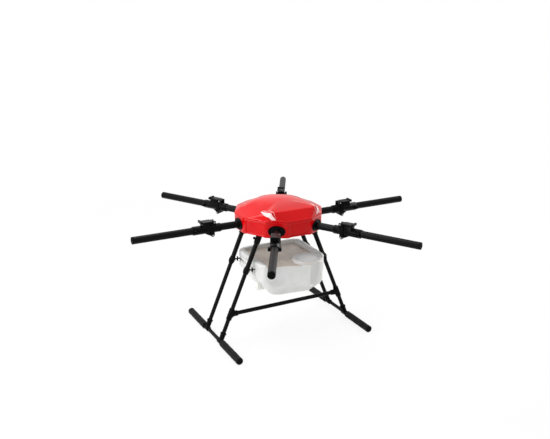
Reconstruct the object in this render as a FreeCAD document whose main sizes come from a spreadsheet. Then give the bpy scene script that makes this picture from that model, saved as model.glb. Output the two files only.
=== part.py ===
import FreeCAD, Part
import math
import os
import re
import Sketcher

# Folding six-arm spraying drone frame with a hanging liquid tank.
# Frame: +Z up, +X forwards along the skids, origin on the floor under the body's centre.
# Everything on an arm is drawn along +X with z = 0 on the arm's axis, then turned to its azimuth.

SIZES = {
    # arms
    "arm_axis_height": 630, "arm_tip_radius": 820, "arm_diameter": 38, "arm_wall": 2,
    "arm_root_radius": 100, "plug_cap": 8, "plug_depth": 20,
    # fold joint: mating plane, sleeves, flanges, hinge and latch
    "fold_radius": 396, "fold_gap": 0.3, "sleeve_diameter": 46, "inner_sleeve_length": 51,
    "outer_sleeve_length": 102, "flange_thickness": 10, "flange_width": 52, "flange_half_height": 31,
    "tube_seat_depth": 10, "fit_clearance": 0.05, "part_clearance": 0.4, "rest_clearance": 0.3,
    "hinge_drop": 31, "knuckle_diameter": 18, "knuckle_half_width": 12, "hinge_pin_diameter": 6,
    "hinge_head_diameter": 11, "hinge_head_length": 5, "web_reach": 34,
    "latch_setback": 11, "latch_height": 36, "latch_hub_diameter": 12, "latch_hub_width": 20,
    "latch_pin_diameter": 4, "latch_head_diameter": 8, "latch_head_length": 3, "latch_ear": 9,
    "latch_ear_height": 42, "latch_reach": 64, "latch_width": 44, "latch_thickness": 7,
    "latch_tip_length": 9, "latch_tip_rise": 5, "latch_overhang": 2, "boss_start": 8,
    "clamp_ear_length": 14, "clamp_ear_span": 66, "clamp_ear_height": 18,
    # centre plates and clamps
    "clamp_half_height": 31, "clamp_start": 105, "clamp_length": 60, "clamp_width": 54,
    "plate_thickness": 2.5, "plate_diameter": 452, "plate_window": 124,
    "lightening_diameter": 46, "lightening_radius": 168,
    "standoff_diameter": 12, "standoff_radius": 206, "board_diameter": 120, "board_thickness": 1.6,
    "board_lift": 12, "board_post_diameter": 8, "board_post_radius": 45,
    "screw_diameter": 4, "screw_head_diameter": 7.6, "screw_head_height": 3, "screw_inset": 8,
    # body shell and hood
    "wall_apothem": 232.5, "corner_apothem": 236, "shell_wall": 2.5, "shell_drop": 36,
    "rim_rise": 46, "shell_flange": 16, "panel_width": 110, "panel_height": 66, "panel_depth": 1,
    "socket_half_width": 45, "socket_half_height": 30, "socket_lip": 5, "socket_cap": 5,
    "socket_depth": 22, "socket_lift": 2,
    "rim_bead": 4, "band_top_apothem": 165, "band_top_rise": 90, "crown_rise": 114,
    "crown_radius": 562, "lip_depth": 8, "lip_thickness": 2,
    # landing gear
    "skid_height": 19, "skid_half_track": 395, "skid_half_length": 343, "skid_diameter": 20,
    "skid_wall": 1.5, "foam_diameter": 38, "foam_start": 116, "foam_clearance": 0.05,
    "skid_plug_cap": 5, "skid_plug_depth": 15,
    "leg_x": 92, "leg_top_y": 158.6, "leg_top_height": 590, "leg_top_gap": 6.5,
    "lower_leg_diameter": 22,
    "upper_leg_diameter": 25, "leg_wall": 1.2, "leg_overlap": 30,
    "coupler_height": 397, "coupler_length": 34, "coupler_diameter": 30, "coupler_ear": 6,
    "peg_diameter": 8, "peg_head_diameter": 15, "peg_head_length": 5,
    "peg_flange_gap": 12, "peg_flange_height": 26, "peg_flange_width": 9, "peg_flange_length": 5,
    "tee_diameter": 28, "tee_length": 46, "tee_rise": 50, "tee_collar": 33, "tee_collar_length": 9,
    "socket_diameter": 33, "leg_socket_length": 52, "leg_socket_plate": 5, "leg_socket_plate_size": 46,
    "brace_height": 165, "brace_diameter": 22, "brace_wall": 1.5, "brace_sleeve": 62,
    "brace_collar": 30, "brace_collar_length": 40, "brace_setback": 17, "brace_gusset": 12,
    "brace_gusset_rise": 26,
    # tank
    "tank_bottom": 259, "tank_shoulder": 319, "tank_flare": 360, "tank_top": 444,
    "tank_back": 128, "tank_front": 195,
    "tank_half_width": 191, "tank_foot_back": 112, "tank_foot_front": 160, "tank_foot_half_width": 117,
    "tank_corner": 44, "tank_wall": 4, "deck_depth": 17, "deck_margin": 24, "rib_width": 9,
    "rib_height": 6, "rib_pitch": 44, "groove_height": 20, "groove_depth": 13,
    "lobe_x": 172, "lobe_y": 86, "lobe_diameter": 160, "lobe_top": 435,
    "lobe_foot_diameter": 20, "flank_angle": 70,
    "mouth_diameter": 110, "lid_diameter": 154, "lid_height": 8,
    "lid_spigot_depth": 10, "outlet_x": 46, "outlet_y": -134, "outlet_length": 26, "outlet_width": 44,
    "outlet_drop": 4, "outlet_bore": 16, "outlet_bore_depth": 20, "outlet_bore_inset": 14,
}

ARMS = {"front_left": 30, "mid_left": 90, "rear_left": 150,
        "rear_right": 210, "mid_right": 270, "front_right": 330}
LEGS = {"front_left": (1, 1), "rear_left": (-1, 1), "front_right": (1, -1), "rear_right": (-1, -1)}
FACES = range(0, 360, 60)

doc = FreeCAD.newDocument("SprayDroneFrame")
sheet = doc.addObject("Spreadsheet::Sheet", "Sizes")
for row, (alias, number) in enumerate(SIZES.items(), start=1):
    sheet.set(f"A{row}", alias)
    sheet.set(f"B{row}", str(number))
    sheet.setAlias(f"B{row}", alias)
doc.recompute()

nodes = []


def tied(text):
    """The expression with each size's name written as a cell of the sheet."""
    return re.sub(r"[a-z]\w*", lambda word: "Sizes." + word.group() if word.group() in SIZES
                  else word.group(), str(text))


def bind(thing, **expressions):
    for name, text in expressions.items():
        thing.setExpression(name, tied(text))
    return thing


def put(thing, x=0, y=0, z=0, axis=(0, 0, 1), angle=0):
    """Places a feature at a point given by expressions, turned about an axis."""
    start = 1 if isinstance(angle, str) else angle
    thing.Placement = FreeCAD.Placement(FreeCAD.Vector(0, 0, 0),
                                        FreeCAD.Rotation(FreeCAD.Vector(*axis), start))
    if isinstance(angle, str):
        thing.setExpression("Placement.Rotation.Angle", tied(angle))
    for name, text in (("x", x), ("y", y), ("z", z)):
        thing.setExpression("Placement.Base." + name, tied(text))
    return thing


def box(x, y, z, length, width, height):
    """A block from the corner x, y, z."""
    made = bind(doc.addObject("Part::Box", "Block"), Length=length, Width=width, Height=height)
    return put(made, x, y, z)


def block(x, z, length, width, height):
    """A block centred on y = 0."""
    return box(x, f"-({width})/2", z, length, width, height)


def rod(diameter, start, length, along="Z", x=0, y=0, z=0):
    """A round bar that starts a given way along one axis from the point x, y, z."""
    made = bind(doc.addObject("Part::Cylinder", "Rod"), Radius=f"({diameter})/2", Height=length)
    turns = {"X": ((0, 1, 0), 90), "Y": ((1, 0, 0), -90), "Z": ((0, 0, 1), 0)}
    places = {"X": (f"{x} + {start}", y, z), "Y": (x, f"{y} + {start}", z),
              "Z": (x, y, f"{z} + {start}")}
    return put(made, *places[along], *turns[along])


def fuse(*pieces):
    made = doc.addObject("Part::MultiFuse", "Joined")
    made.Shapes = list(pieces)
    return made


def cut(base, *tools):
    made = doc.addObject("Part::Cut", "Cut")
    made.Base = base
    made.Tool = tools[0] if len(tools) == 1 else fuse(*tools)
    return made


def common(first, *others):
    for other in others:
        made = doc.addObject("Part::Common", "Shared")
        made.Base = first
        made.Tool = other
        first = made
    return first


def tube(outer, inner, start, length, along="X", **at):
    return cut(rod(outer, start, length, along, **at),
               rod(inner, f"{start} - 1", f"{length} + 2", along, **at))


def oval(half_width, half_height, start, length, lift):
    """An oval bar along +X, wide in Y and tall in Z."""
    outline = bind(doc.addObject("Part::Ellipse", "Oval"),
                   MajorRadius=half_width, MinorRadius=half_height)
    made = doc.addObject("Part::Extrusion", "OvalBar")
    made.Base = outline
    made.DirMode = "Custom"
    made.Dir = FreeCAD.Vector(0, 0, 1)
    made.Solid = True
    bind(made, LengthFwd=length)
    return put(made, start, 0, lift, (1, 1, 1), 120)


def node(name, *pieces):
    """Names a finished sub-part; several pieces become one group of separate solids."""
    thing = pieces[0]
    if len(pieces) > 1:
        thing = doc.addObject("Part::Compound", name)
        thing.Links = list(pieces)
    thing.Label = name
    nodes.append(thing)
    return thing


def held(thing):
    """Wraps a piece that has a place of its own, so that it can be placed once more."""
    if thing.TypeId in ("Part::Cut", "Part::Common", "Part::MultiFuse"):
        return thing
    wrap = doc.addObject("Part::Compound", "Held")
    wrap.Links = [thing]
    return wrap


def on_azimuth(piece, azimuth, height="arm_axis_height"):
    """Turns a piece drawn along +X about the body's centre line."""
    thing = held(piece)
    if azimuth > 180:
        return put(thing, 0, 0, height, (0, 0, -1), 360 - azimuth)
    return put(thing, 0, 0, height, (0, 0, 1), azimuth)


LEAN = "atan((skid_half_track - leg_top_y) / (leg_top_height - skid_height))"


def on_leg(thing, fore, side):
    """Stands a piece drawn up +Z from the skid's axis along its leaning leg."""
    return put(held(thing), f"{fore} * leg_x", f"{side} * skid_half_track", "skid_height",
               (side, 0, 0), LEAN)


def along_leg(height):
    """How far up the leg, from the skid's axis, a height above the floor lies."""
    return f"(({height}) - skid_height) / cos({LEAN})"


def leg_y(height):
    """The leg's distance from the middle plane at a height above the floor."""
    return f"(skid_half_track - (({height}) - skid_height) * tan({LEAN}))"


def fitted(diameter):
    """The hole that a round piece of this diameter is seated in."""
    return f"({diameter} + 2 * fit_clearance)"


def new_body(name):
    return doc.addObject("PartDesign::Body", name)


def new_sketch(body, role="XY_Plane", offset=0):
    sketch = body.newObject("Sketcher::SketchObject", "Outline")
    plane = next(item for item in body.Origin.OriginFeatures if item.Role == role)
    sketch.AttachmentSupport = (plane, [""])
    sketch.MapMode = "FlatFace"
    sketch.setExpression("AttachmentOffset.Base.z", tied(offset))
    return sketch


def fix_point(sketch, geometry, point, x, y):
    """Ties a sketch point to two expressions."""
    place = sketch.getPoint(geometry, point)
    for kind, text, now in (("DistanceX", x, place.x), ("DistanceY", y, place.y)):
        number = sketch.addConstraint(Sketcher.Constraint(kind, -1, 1, geometry, point, now))
        sketch.setExpression(f"Constraints[{number}]", tied(text))


def polygon(sketch, points):
    """A closed outline of straight lines; its points start on a circle and are then tied."""
    turn = 2 * math.pi / len(points)
    places = [FreeCAD.Vector(100 * math.cos(turn * k), 100 * math.sin(turn * k), 0)
              for k in range(len(points))]
    for number, place in enumerate(places):
        sketch.addGeometry(Part.LineSegment(place, places[(number + 1) % len(places)]))
    for number in range(len(places)):
        after = (number + 1) % len(places)
        sketch.addConstraint(Sketcher.Constraint("Coincident", number, 2, after, 1))
    for number, (x, y) in enumerate(points):
        fix_point(sketch, number, 1, x, y)


def circle(sketch, diameter, x=0, y=0):
    number = sketch.addGeometry(Part.Circle(FreeCAD.Vector(5, 5, 0), FreeCAD.Vector(0, 0, 1), 10))
    fix_point(sketch, number, 3, x, y)
    size = sketch.addConstraint(Sketcher.Constraint("Diameter", number, 20))
    sketch.setExpression(f"Constraints[{size}]", tied(diameter))


def rounded_box_outline(sketch, back, front, half_width, corner):
    """Four sides tied by their end points, and four arcs tangent to them."""
    sides = [((80, -100), (80, 100)), ((60, 120), (-60, 120)),
             ((-80, 100), (-80, -100)), ((-60, -120), (60, -120))]
    centres = [(60, 100), (-60, 100), (-60, -100), (60, -100)]
    for (x0, y0), (x1, y1) in sides:
        sketch.addGeometry(Part.LineSegment(FreeCAD.Vector(x0, y0, 0), FreeCAD.Vector(x1, y1, 0)))
    for quarter, (x, y) in enumerate(centres):
        sketch.addGeometry(Part.ArcOfCircle(
            Part.Circle(FreeCAD.Vector(x, y, 0), FreeCAD.Vector(0, 0, 1), 20),
            quarter * math.pi / 2, (quarter + 1) * math.pi / 2))
    wide = f"({half_width})"
    ends = [((front, f"-{wide} + {corner}"), (front, f"{wide} - {corner}")),
            ((f"{front} - {corner}", wide), (f"{back} + {corner}", wide)),
            ((back, f"{wide} - {corner}"), (back, f"-{wide} + {corner}")),
            ((f"{back} + {corner}", f"-{wide}"), (f"{front} - {corner}", f"-{wide}"))]
    for number in range(4):
        sketch.addConstraint(Sketcher.Constraint("Tangent", number, 2, number + 4, 1))
        sketch.addConstraint(Sketcher.Constraint("Coincident", number + 4, 2, (number + 1) % 4, 1))
    for number, (start, end) in enumerate(ends):
        fix_point(sketch, number, 1, *start)
        fix_point(sketch, number, 2, *end)


def pad(body, sketch, length, both_ways=False):
    made = body.newObject("PartDesign::Pad", "Pad")
    made.Profile = sketch
    if both_ways:
        made.SideType = "Symmetric"
    return bind(made, Length=length)


# ---- arms -----------------------------------------------------------------------------------

TUBE_BORE = "arm_diameter - 2 * arm_wall"
SLEEVE = "sleeve_diameter"
OUTER_FACE = "fold_radius + fold_gap"
INNER_TUBE_END = "fold_radius - tube_seat_depth"
OUTER_TUBE_START = "fold_radius + tube_seat_depth"
KNUCKLE_GAP = "knuckle_half_width + fold_gap"
KNUCKLE_CLEAR = "knuckle_diameter + 2 * part_clearance"
LATCH_X = "(fold_radius - latch_setback)"


def across(diameter, start, length, x, z):
    """A bar across the arm."""
    return rod(diameter, start, length, "Y", x=x, z=z)


def hinge_line(diameter, start, length):
    return across(diameter, start, length, "fold_radius", "-hinge_drop")


def latch_line(diameter, start, length):
    return across(diameter, start, length, LATCH_X, "latch_height")


def root_tube():
    return tube("arm_diameter", TUBE_BORE, "arm_root_radius", f"{INNER_TUBE_END} - arm_root_radius")


def fold_inner():
    """Sleeve on the root tube, flange, two hinge knuckles below and two latch ears above."""
    sleeve_start = "(fold_radius - inner_sleeve_length)"
    half = "flange_width / 2"
    knuckles = [hinge_line("knuckle_diameter", KNUCKLE_GAP, f"{half} - ({KNUCKLE_GAP})"),
                hinge_line("knuckle_diameter", f"-{half}", f"{half} - ({KNUCKLE_GAP})")]
    ear_start = f"{LATCH_X} - latch_ear"
    ears = [box(ear_start, "latch_hub_width / 2 + part_clearance", 0,
                "2 * latch_ear", "latch_ear", "latch_ear_height"),
            box(ear_start, "-latch_hub_width / 2 - part_clearance - latch_ear", 0,
                "2 * latch_ear", "latch_ear", "latch_ear_height")]
    solid = fuse(rod(SLEEVE, sleeve_start, "inner_sleeve_length", "X"),
                 block("fold_radius - flange_thickness", "-flange_half_height", "flange_thickness",
                       "flange_width", "2 * flange_half_height"),
                 *knuckles, *ears)
    slot = block(f"{LATCH_X} - latch_setback", "latch_height - latch_hub_diameter / 2 - part_clearance",
                 "2 * latch_setback + 2", "latch_hub_width + 2 * part_clearance", "latch_ear_height")
    return cut(solid, slot,
               hinge_line(KNUCKLE_CLEAR, f"-({KNUCKLE_GAP})", f"2 * ({KNUCKLE_GAP})"),
               rod(fitted("arm_diameter"), f"{sleeve_start} - 1",
                   f"{INNER_TUBE_END} - {sleeve_start} + 1 + fit_clearance", "X"),
               hinge_line(fitted("hinge_pin_diameter"), "-flange_width", "2 * flange_width"),
               latch_line(fitted("latch_pin_diameter"), "-flange_width", "2 * flange_width"))


def fold_outer():
    """Sleeve on the outer tube, flange, latch seat above and a webbed middle knuckle below."""
    web = new_body("HingeWeb")
    profile = new_sketch(web, "XZ_Plane")
    polygon(profile, [("fold_radius", "-hinge_drop - knuckle_diameter / 2"),
                      ("fold_radius + web_reach", "-sleeve_diameter / 2"),
                      ("fold_radius + web_reach", "-sleeve_diameter / 4"),
                      ("fold_radius + fold_gap", "-sleeve_diameter / 4")])
    pad(web, profile, "2 * knuckle_half_width", both_ways=True)
    solid = fuse(rod(SLEEVE, OUTER_FACE, "outer_sleeve_length - fold_gap", "X"),
                 block(OUTER_FACE, "-flange_half_height", "flange_thickness",
                       "flange_width", "2 * flange_half_height"),
                 block("fold_radius + boss_start", 0, "latch_reach - boss_start - latch_setback",
                       "latch_width - 2 * latch_overhang", "latch_height"),
                 block("fold_radius + outer_sleeve_length - clamp_ear_length", "-clamp_ear_height / 2",
                       "clamp_ear_length", "clamp_ear_span", "clamp_ear_height"),
                 hinge_line("knuckle_diameter", "-knuckle_half_width", "2 * knuckle_half_width"), web)
    side = "flange_width / 2 - knuckle_half_width + 2"
    return cut(solid,
               hinge_line(KNUCKLE_CLEAR, "knuckle_half_width", side),
               hinge_line(KNUCKLE_CLEAR, f"-knuckle_half_width - ({side})", side),
               rod(fitted("arm_diameter"), f"{OUTER_TUBE_START} - fit_clearance",
                   "outer_sleeve_length", "X"),
               hinge_line(fitted("hinge_pin_diameter"), "-flange_width", "2 * flange_width"))


def latch():
    """Lever over the joint: a hub between the ears, a wide plate and a turned-up tip."""
    reach = "latch_reach"
    plate_low = "latch_height + part_clearance"
    solid = fuse(latch_line("latch_hub_diameter", "-latch_hub_width / 2", "latch_hub_width"),
                 block(LATCH_X, plate_low, "latch_setback + 2 * latch_overhang", "latch_hub_width",
                       "latch_thickness"),
                 block("fold_radius + 1", plate_low, f"{reach} - 1", "latch_width", "latch_thickness"),
                 block(f"fold_radius + {reach} - latch_tip_length", plate_low, "latch_tip_length",
                       "latch_width", "latch_thickness + latch_tip_rise"))
    return cut(solid, latch_line(fitted("latch_pin_diameter"), "-flange_width", "2 * flange_width"))


def pin(line, diameter, head, head_length, half_span):
    return fuse(line(diameter, f"-({half_span})", f"2 * ({half_span})"),
                line(head, half_span, head_length),
                line(head, f"-({half_span}) - {head_length}", head_length))


def end_plug():
    return fuse(rod("arm_diameter", "arm_tip_radius - plug_cap", "plug_cap", "X"),
                rod(f"{TUBE_BORE} - 2 * fit_clearance", "arm_tip_radius - plug_cap - plug_depth",
                    "plug_depth", "X"))


def root_clamp():
    clamp = block("clamp_start", "-clamp_half_height", "clamp_length", "clamp_width",
                  "2 * clamp_half_height")
    holes = [rod(fitted("screw_diameter"), "-clamp_half_height - 1", "2 * clamp_half_height + 2", "Z",
                 x=SCREW_X, y=f"{side} * {SCREW_Y}") for side in (1, -1)]
    return cut(clamp, rod(fitted("arm_diameter"), "clamp_start - 1", "clamp_length + 2", "X"), *holes)


SCREW_X = "clamp_start + clamp_length / 2"
SCREW_Y = "(clamp_width / 2 - screw_inset / 2)"


def clamp_screw(side, up):
    """One screw through a centre plate into the clamp, head outside the plate."""
    face = "(clamp_half_height + plate_thickness)"
    grip = "clamp_half_height"
    start = f"{face} - {grip}" if up > 0 else f"-{face}"
    head = face if up > 0 else f"-{face} - screw_head_height"
    at = {"x": SCREW_X, "y": f"{side} * {SCREW_Y}"}
    return fuse(rod("screw_diameter", start, grip, "Z", **at),
                rod("screw_head_diameter", head, "screw_head_height", "Z", **at))


def arm_socket():
    """Oval lip on the shell's corner with a spigot through the wall, bored for the tube."""
    solid = fuse(oval("socket_half_width", "socket_half_height", "corner_apothem", "socket_cap",
                      "socket_lift"),
                 oval("socket_half_width - socket_lip", "socket_half_height - socket_lip",
                      "corner_apothem - socket_depth", "socket_depth", "socket_lift"))
    return cut(solid, rod(fitted("arm_diameter"), "corner_apothem - socket_depth - 1",
                          "socket_depth + socket_cap + 2", "X"))


for name, azimuth in ARMS.items():
    node(f"arm_tube_{name}",
         on_azimuth(tube("arm_diameter", TUBE_BORE, OUTER_TUBE_START,
                         f"arm_tip_radius - plug_cap - ({OUTER_TUBE_START})"), azimuth))
    node(f"arm_end_plug_{name}", on_azimuth(end_plug(), azimuth))
    node(f"fold_joint_inner_{name}", on_azimuth(fold_inner(), azimuth))
    node(f"fold_joint_outer_{name}", on_azimuth(fold_outer(), azimuth))
    node(f"fold_latch_{name}", on_azimuth(latch(), azimuth))

node("arm_root_tubes", *[on_azimuth(root_tube(), turn) for turn in ARMS.values()])
node("fold_joint_pins",
     *[on_azimuth(pin(hinge_line, "hinge_pin_diameter", "hinge_head_diameter", "hinge_head_length",
                      "flange_width / 2"), turn) for turn in ARMS.values()],
     *[on_azimuth(pin(latch_line, "latch_pin_diameter", "latch_head_diameter", "latch_head_length",
                      "latch_hub_width / 2 + part_clearance + latch_ear"), turn)
       for turn in ARMS.values()])
node("arm_root_clamps", *[on_azimuth(root_clamp(), turn) for turn in ARMS.values()])
node("clamp_screws", *[on_azimuth(clamp_screw(side, up), turn)
                       for turn in ARMS.values() for side in (1, -1) for up in (1, -1)])
node("arm_sockets", *[on_azimuth(arm_socket(), turn) for turn in ARMS.values()])


# ---- centre plates --------------------------------------------------------------------------

def centre_plate(name, bottom, window):
    """Round plate with lightening holes and the clamp screws' holes, repeated six times."""
    body = new_body(name)
    outline = new_sketch(body, offset=f"arm_axis_height + {bottom}")
    circle(outline, "plate_diameter")
    if window:
        circle(outline, window)
    pad(body, outline, "plate_thickness")
    holes = new_sketch(body, offset=f"arm_axis_height + {bottom}")
    circle(holes, "lightening_diameter", "lightening_radius", 0)
    for side in (1, -1):
        circle(holes, fitted("screw_diameter"),
               f"({SCREW_X}) * cos(30deg) - {side} * {SCREW_Y} * sin(30deg)",
               f"({SCREW_X}) * sin(30deg) + {side} * {SCREW_Y} * cos(30deg)")
    pocket = body.newObject("PartDesign::Pocket", "Holes")
    pocket.Profile = holes
    pocket.Type = "ThroughAll"
    pocket.Reversed = True
    doc.recompute()
    pattern = body.newObject("PartDesign::PolarPattern", "SixTimes")
    pattern.Originals = [pocket]
    upright = next(item for item in body.Origin.OriginFeatures if item.Role == "Z_Axis")
    pattern.Axis = (upright, [""])
    pattern.Angle = 360
    pattern.Occurrences = 6
    body.Tip = pattern
    return body


node("lower_centre_plate", centre_plate("LowerPlate", "-clamp_half_height - plate_thickness", None))
node("upper_centre_plate", centre_plate("UpperPlate", "clamp_half_height", "plate_window"))
node("plate_standoffs", *[
    on_azimuth(rod("standoff_diameter", "-clamp_half_height", "2 * clamp_half_height", "Z",
                   x="standoff_radius"), turn) for turn in FACES])
posts = [on_azimuth(rod("board_post_diameter", "-clamp_half_height", "board_lift", "Z",
                        x="board_post_radius"), turn) for turn in FACES[::2]]
node("power_board", fuse(*posts, rod("board_diameter",
                                     "arm_axis_height - clamp_half_height + board_lift",
                                     "board_thickness")))


# ---- side shell and hood --------------------------------------------------------------------

def hexagon(apothem, height):
    """A flat hexagon with faces towards azimuths 0, 60 and so on."""
    made = bind(doc.addObject("Part::RegularPolygon", "Hexagon"),
                Circumradius=f"({apothem}) / cos(30deg)")
    made.Polygon = 6
    return put(made, 0, 0, height, (0, 0, 1), 30)


def twelve_sided(inset, bottom, height):
    """Six faces cut back at their six corners: the plan of the body."""
    faces = bind(doc.addObject("Part::Prism", "Faces"), Height=height,
                 Circumradius=f"(wall_apothem - ({inset})) / cos(30deg)")
    corners = bind(doc.addObject("Part::Prism", "Corners"), Height=height,
                   Circumradius=f"(corner_apothem - ({inset})) / cos(30deg)")
    put(faces, 0, 0, bottom, (0, 0, 1), 30)
    put(corners, 0, 0, bottom)
    return common(faces, corners)


SHELL_BOTTOM = "arm_axis_height - shell_drop"
RIM = "arm_axis_height + rim_rise"


def panel_recess(turn):
    """A shallow flat set into each face of the shell."""
    low = "(rim_rise - shell_drop - panel_height) / 2"
    return on_azimuth(block("wall_apothem - panel_depth", low, "panel_depth + 1", "panel_width",
                            "panel_height"), turn)


def side_shell():
    openings = [on_azimuth(oval("socket_half_width - socket_lip + fit_clearance",
                                "socket_half_height - socket_lip + fit_clearance",
                                "corner_apothem - socket_depth", "2 * socket_depth", "socket_lift"),
                           turn) for turn in ARMS.values()]
    holes = [on_azimuth(hood_screw_line(fitted("screw_diameter"), "-2 * shell_wall",
                                        "4 * shell_wall"), turn) for turn in FACES]
    return cut(twelve_sided(0, SHELL_BOTTOM, "shell_drop + rim_rise"),
               twelve_sided("shell_wall", f"{SHELL_BOTTOM} + shell_drop - clamp_half_height"
                            " - plate_thickness", "shell_drop + rim_rise"),
               twelve_sided("shell_flange", f"{SHELL_BOTTOM} - 1", "shell_drop"),
               *openings, *holes, *[panel_recess(turn) for turn in FACES])


def hood_screw_line(diameter, start, length):
    """A bar through the shell's face below the rim, from its outer face."""
    return rod(diameter, start, length, "X", x="wall_apothem", z="rim_rise - lip_depth / 2")


def hood_form(inset):
    """Rim bead, six sloping bands and a domed crown."""
    slope = "(wall_apothem - band_top_apothem) / (band_top_rise - rim_rise - rim_bead)"
    top = "(crown_rise + rim_bead)"
    bands = doc.addObject("Part::Loft", "Bands")
    bands.Sections = [
        hexagon(f"wall_apothem - {inset}", f"{RIM} - lip_depth - 1"),
        hexagon(f"wall_apothem - {inset}", f"{RIM} + rim_bead - {inset} / 2"),
        hexagon(f"wall_apothem - {inset} - ({top} - rim_rise - rim_bead) * {slope}",
                f"arm_axis_height + {top} - {inset} / 2")]
    bands.Solid = True
    bands.Ruled = True
    crown = bind(doc.addObject("Part::Sphere", "Crown"), Radius=f"crown_radius - {inset}")
    put(crown, 0, 0, "arm_axis_height + crown_rise - crown_radius")
    return common(twelve_sided(inset, f"{RIM} - {inset} * 4", "2 * crown_rise"), bands, crown)


def hood():
    lip_out = "shell_wall + rest_clearance"
    ring = cut(fuse(twelve_sided(lip_out, f"{RIM} - lip_depth", "lip_depth + rim_bead / 2"),
                    twelve_sided("shell_wall / 2", RIM, "rim_bead / 2")),
               twelve_sided(f"{lip_out} + lip_thickness", f"{RIM} - lip_depth - 1",
                            "2 * lip_depth"))
    holes = [on_azimuth(hood_screw_line(fitted("screw_diameter"), "-4 * shell_wall",
                                        "5 * shell_wall"), turn) for turn in FACES]
    return cut(fuse(cut(hood_form("0"), hood_form("shell_wall")), ring), *holes)


def hood_screw():
    return fuse(hood_screw_line("screw_diameter", "-2 * shell_wall - lip_thickness",
                                "2 * shell_wall + lip_thickness"),
                hood_screw_line("screw_head_diameter", 0, "screw_head_height / 3"))


node("side_shell", side_shell())
node("hood", hood())
node("hood_screws", *[on_azimuth(hood_screw(), turn) for turn in FACES])


# ---- landing gear ---------------------------------------------------------------------------

UNDER_PLATE = "(arm_axis_height - clamp_half_height - plate_thickness)"
LEG_TOP = f"({UNDER_PLATE} - leg_top_gap)"
LEG_TOP_Y = leg_y(LEG_TOP)
LEG_END = along_leg(LEG_TOP)
COUPLER = along_leg("coupler_height")
UPPER_START = f"({COUPLER} - coupler_length / 4)"
LEG_SEAT = "(skid_diameter / 2 + 2)"


def upper_leg():
    return tube("upper_leg_diameter", fitted("lower_leg_diameter"), UPPER_START,
                f"{LEG_END} - {UPPER_START}", "Z")


def lower_leg():
    return tube("lower_leg_diameter", "lower_leg_diameter - 2 * leg_wall", LEG_SEAT,
                f"{COUPLER} + leg_overlap - {LEG_SEAT}", "Z")


def leg_socket(fore, side):
    """Foot plate under the lower centre plate with a leaning sleeve for the leg's top."""
    sleeve = on_leg(rod("socket_diameter", f"{LEG_END} - leg_socket_length",
                        "leg_socket_length + socket_diameter"), fore, side)
    half = "leg_socket_plate_size / 2"
    plate = box(f"{fore} * leg_x - {half}", f"{side} * {LEG_TOP_Y} - {half}",
                f"{UNDER_PLATE} - leg_socket_plate", "2 * " + half, "2 * " + half, "leg_socket_plate")
    above = box(f"{fore} * leg_x - 2 * socket_diameter", f"{side} * {LEG_TOP_Y} - 2 * socket_diameter",
                UNDER_PLATE, "4 * socket_diameter", "4 * socket_diameter", "4 * socket_diameter")
    bore = on_leg(rod(fitted("upper_leg_diameter"), f"{LEG_END} - 2 * leg_socket_length",
                      "2 * leg_socket_length + fit_clearance"), fore, side)
    return cut(fuse(sleeve, plate), above, bore)


def coupler(fore, side):
    """Clamp sleeve where the two leg tubes meet, with a T peg towards the tank."""
    half = "coupler_length / 2"
    sleeve = on_leg(rod("coupler_diameter", f"{COUPLER} - {half}", "coupler_length"), fore, side)
    ear = on_leg(box("-coupler_ear / 2", "-coupler_diameter / 2 - coupler_ear / 2",
                     f"{COUPLER} - {half} / 2", "coupler_ear", "coupler_diameter + coupler_ear",
                     half), fore, side)
    inner_end = "(tank_half_width - groove_depth + part_clearance)"
    reach = f"({leg_y('coupler_height')} - {inner_end})"
    start = inner_end if side > 0 else f"-{inner_end} - {reach}"
    head = inner_end if side > 0 else f"-{inner_end} - peg_head_length"
    at = {"x": f"{fore} * leg_x", "z": "coupler_height"}
    flange_start = "(tank_half_width + peg_flange_gap)"
    flange = box(f"{fore} * leg_x - peg_flange_width / 2",
                 flange_start if side > 0 else f"-{flange_start} - peg_flange_length",
                 "coupler_height - peg_flange_height / 2",
                 "peg_flange_width", "peg_flange_length", "peg_flange_height")
    bores = [on_leg(rod(fitted("upper_leg_diameter"), UPPER_START, "coupler_length"), fore, side),
             on_leg(rod(fitted("lower_leg_diameter"), f"{COUPLER} - coupler_length",
                        "coupler_length"), fore, side)]
    return cut(fuse(sleeve, ear, flange, rod("peg_diameter", start, reach, "Y", **at),
                    rod("peg_head_diameter", head, "peg_head_length", "Y", **at)), *bores)


def skid_tee(fore, side):
    """Sleeve on the skid, upright sleeve for the leg and a clamp collar at its top."""
    solid = fuse(rod("tee_diameter", "-tee_length / 2", "tee_length", "X"),
                 rod("tee_diameter", 0, "tee_rise"),
                 rod("tee_collar", "tee_rise - tee_collar_length", "tee_collar_length"))
    return on_leg(cut(solid, rod(fitted("skid_diameter"), "-tee_length", "2 * tee_length", "X"),
                      rod(fitted("lower_leg_diameter"), f"{LEG_SEAT} - fit_clearance", "tee_rise")),
                  fore, side)


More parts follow.
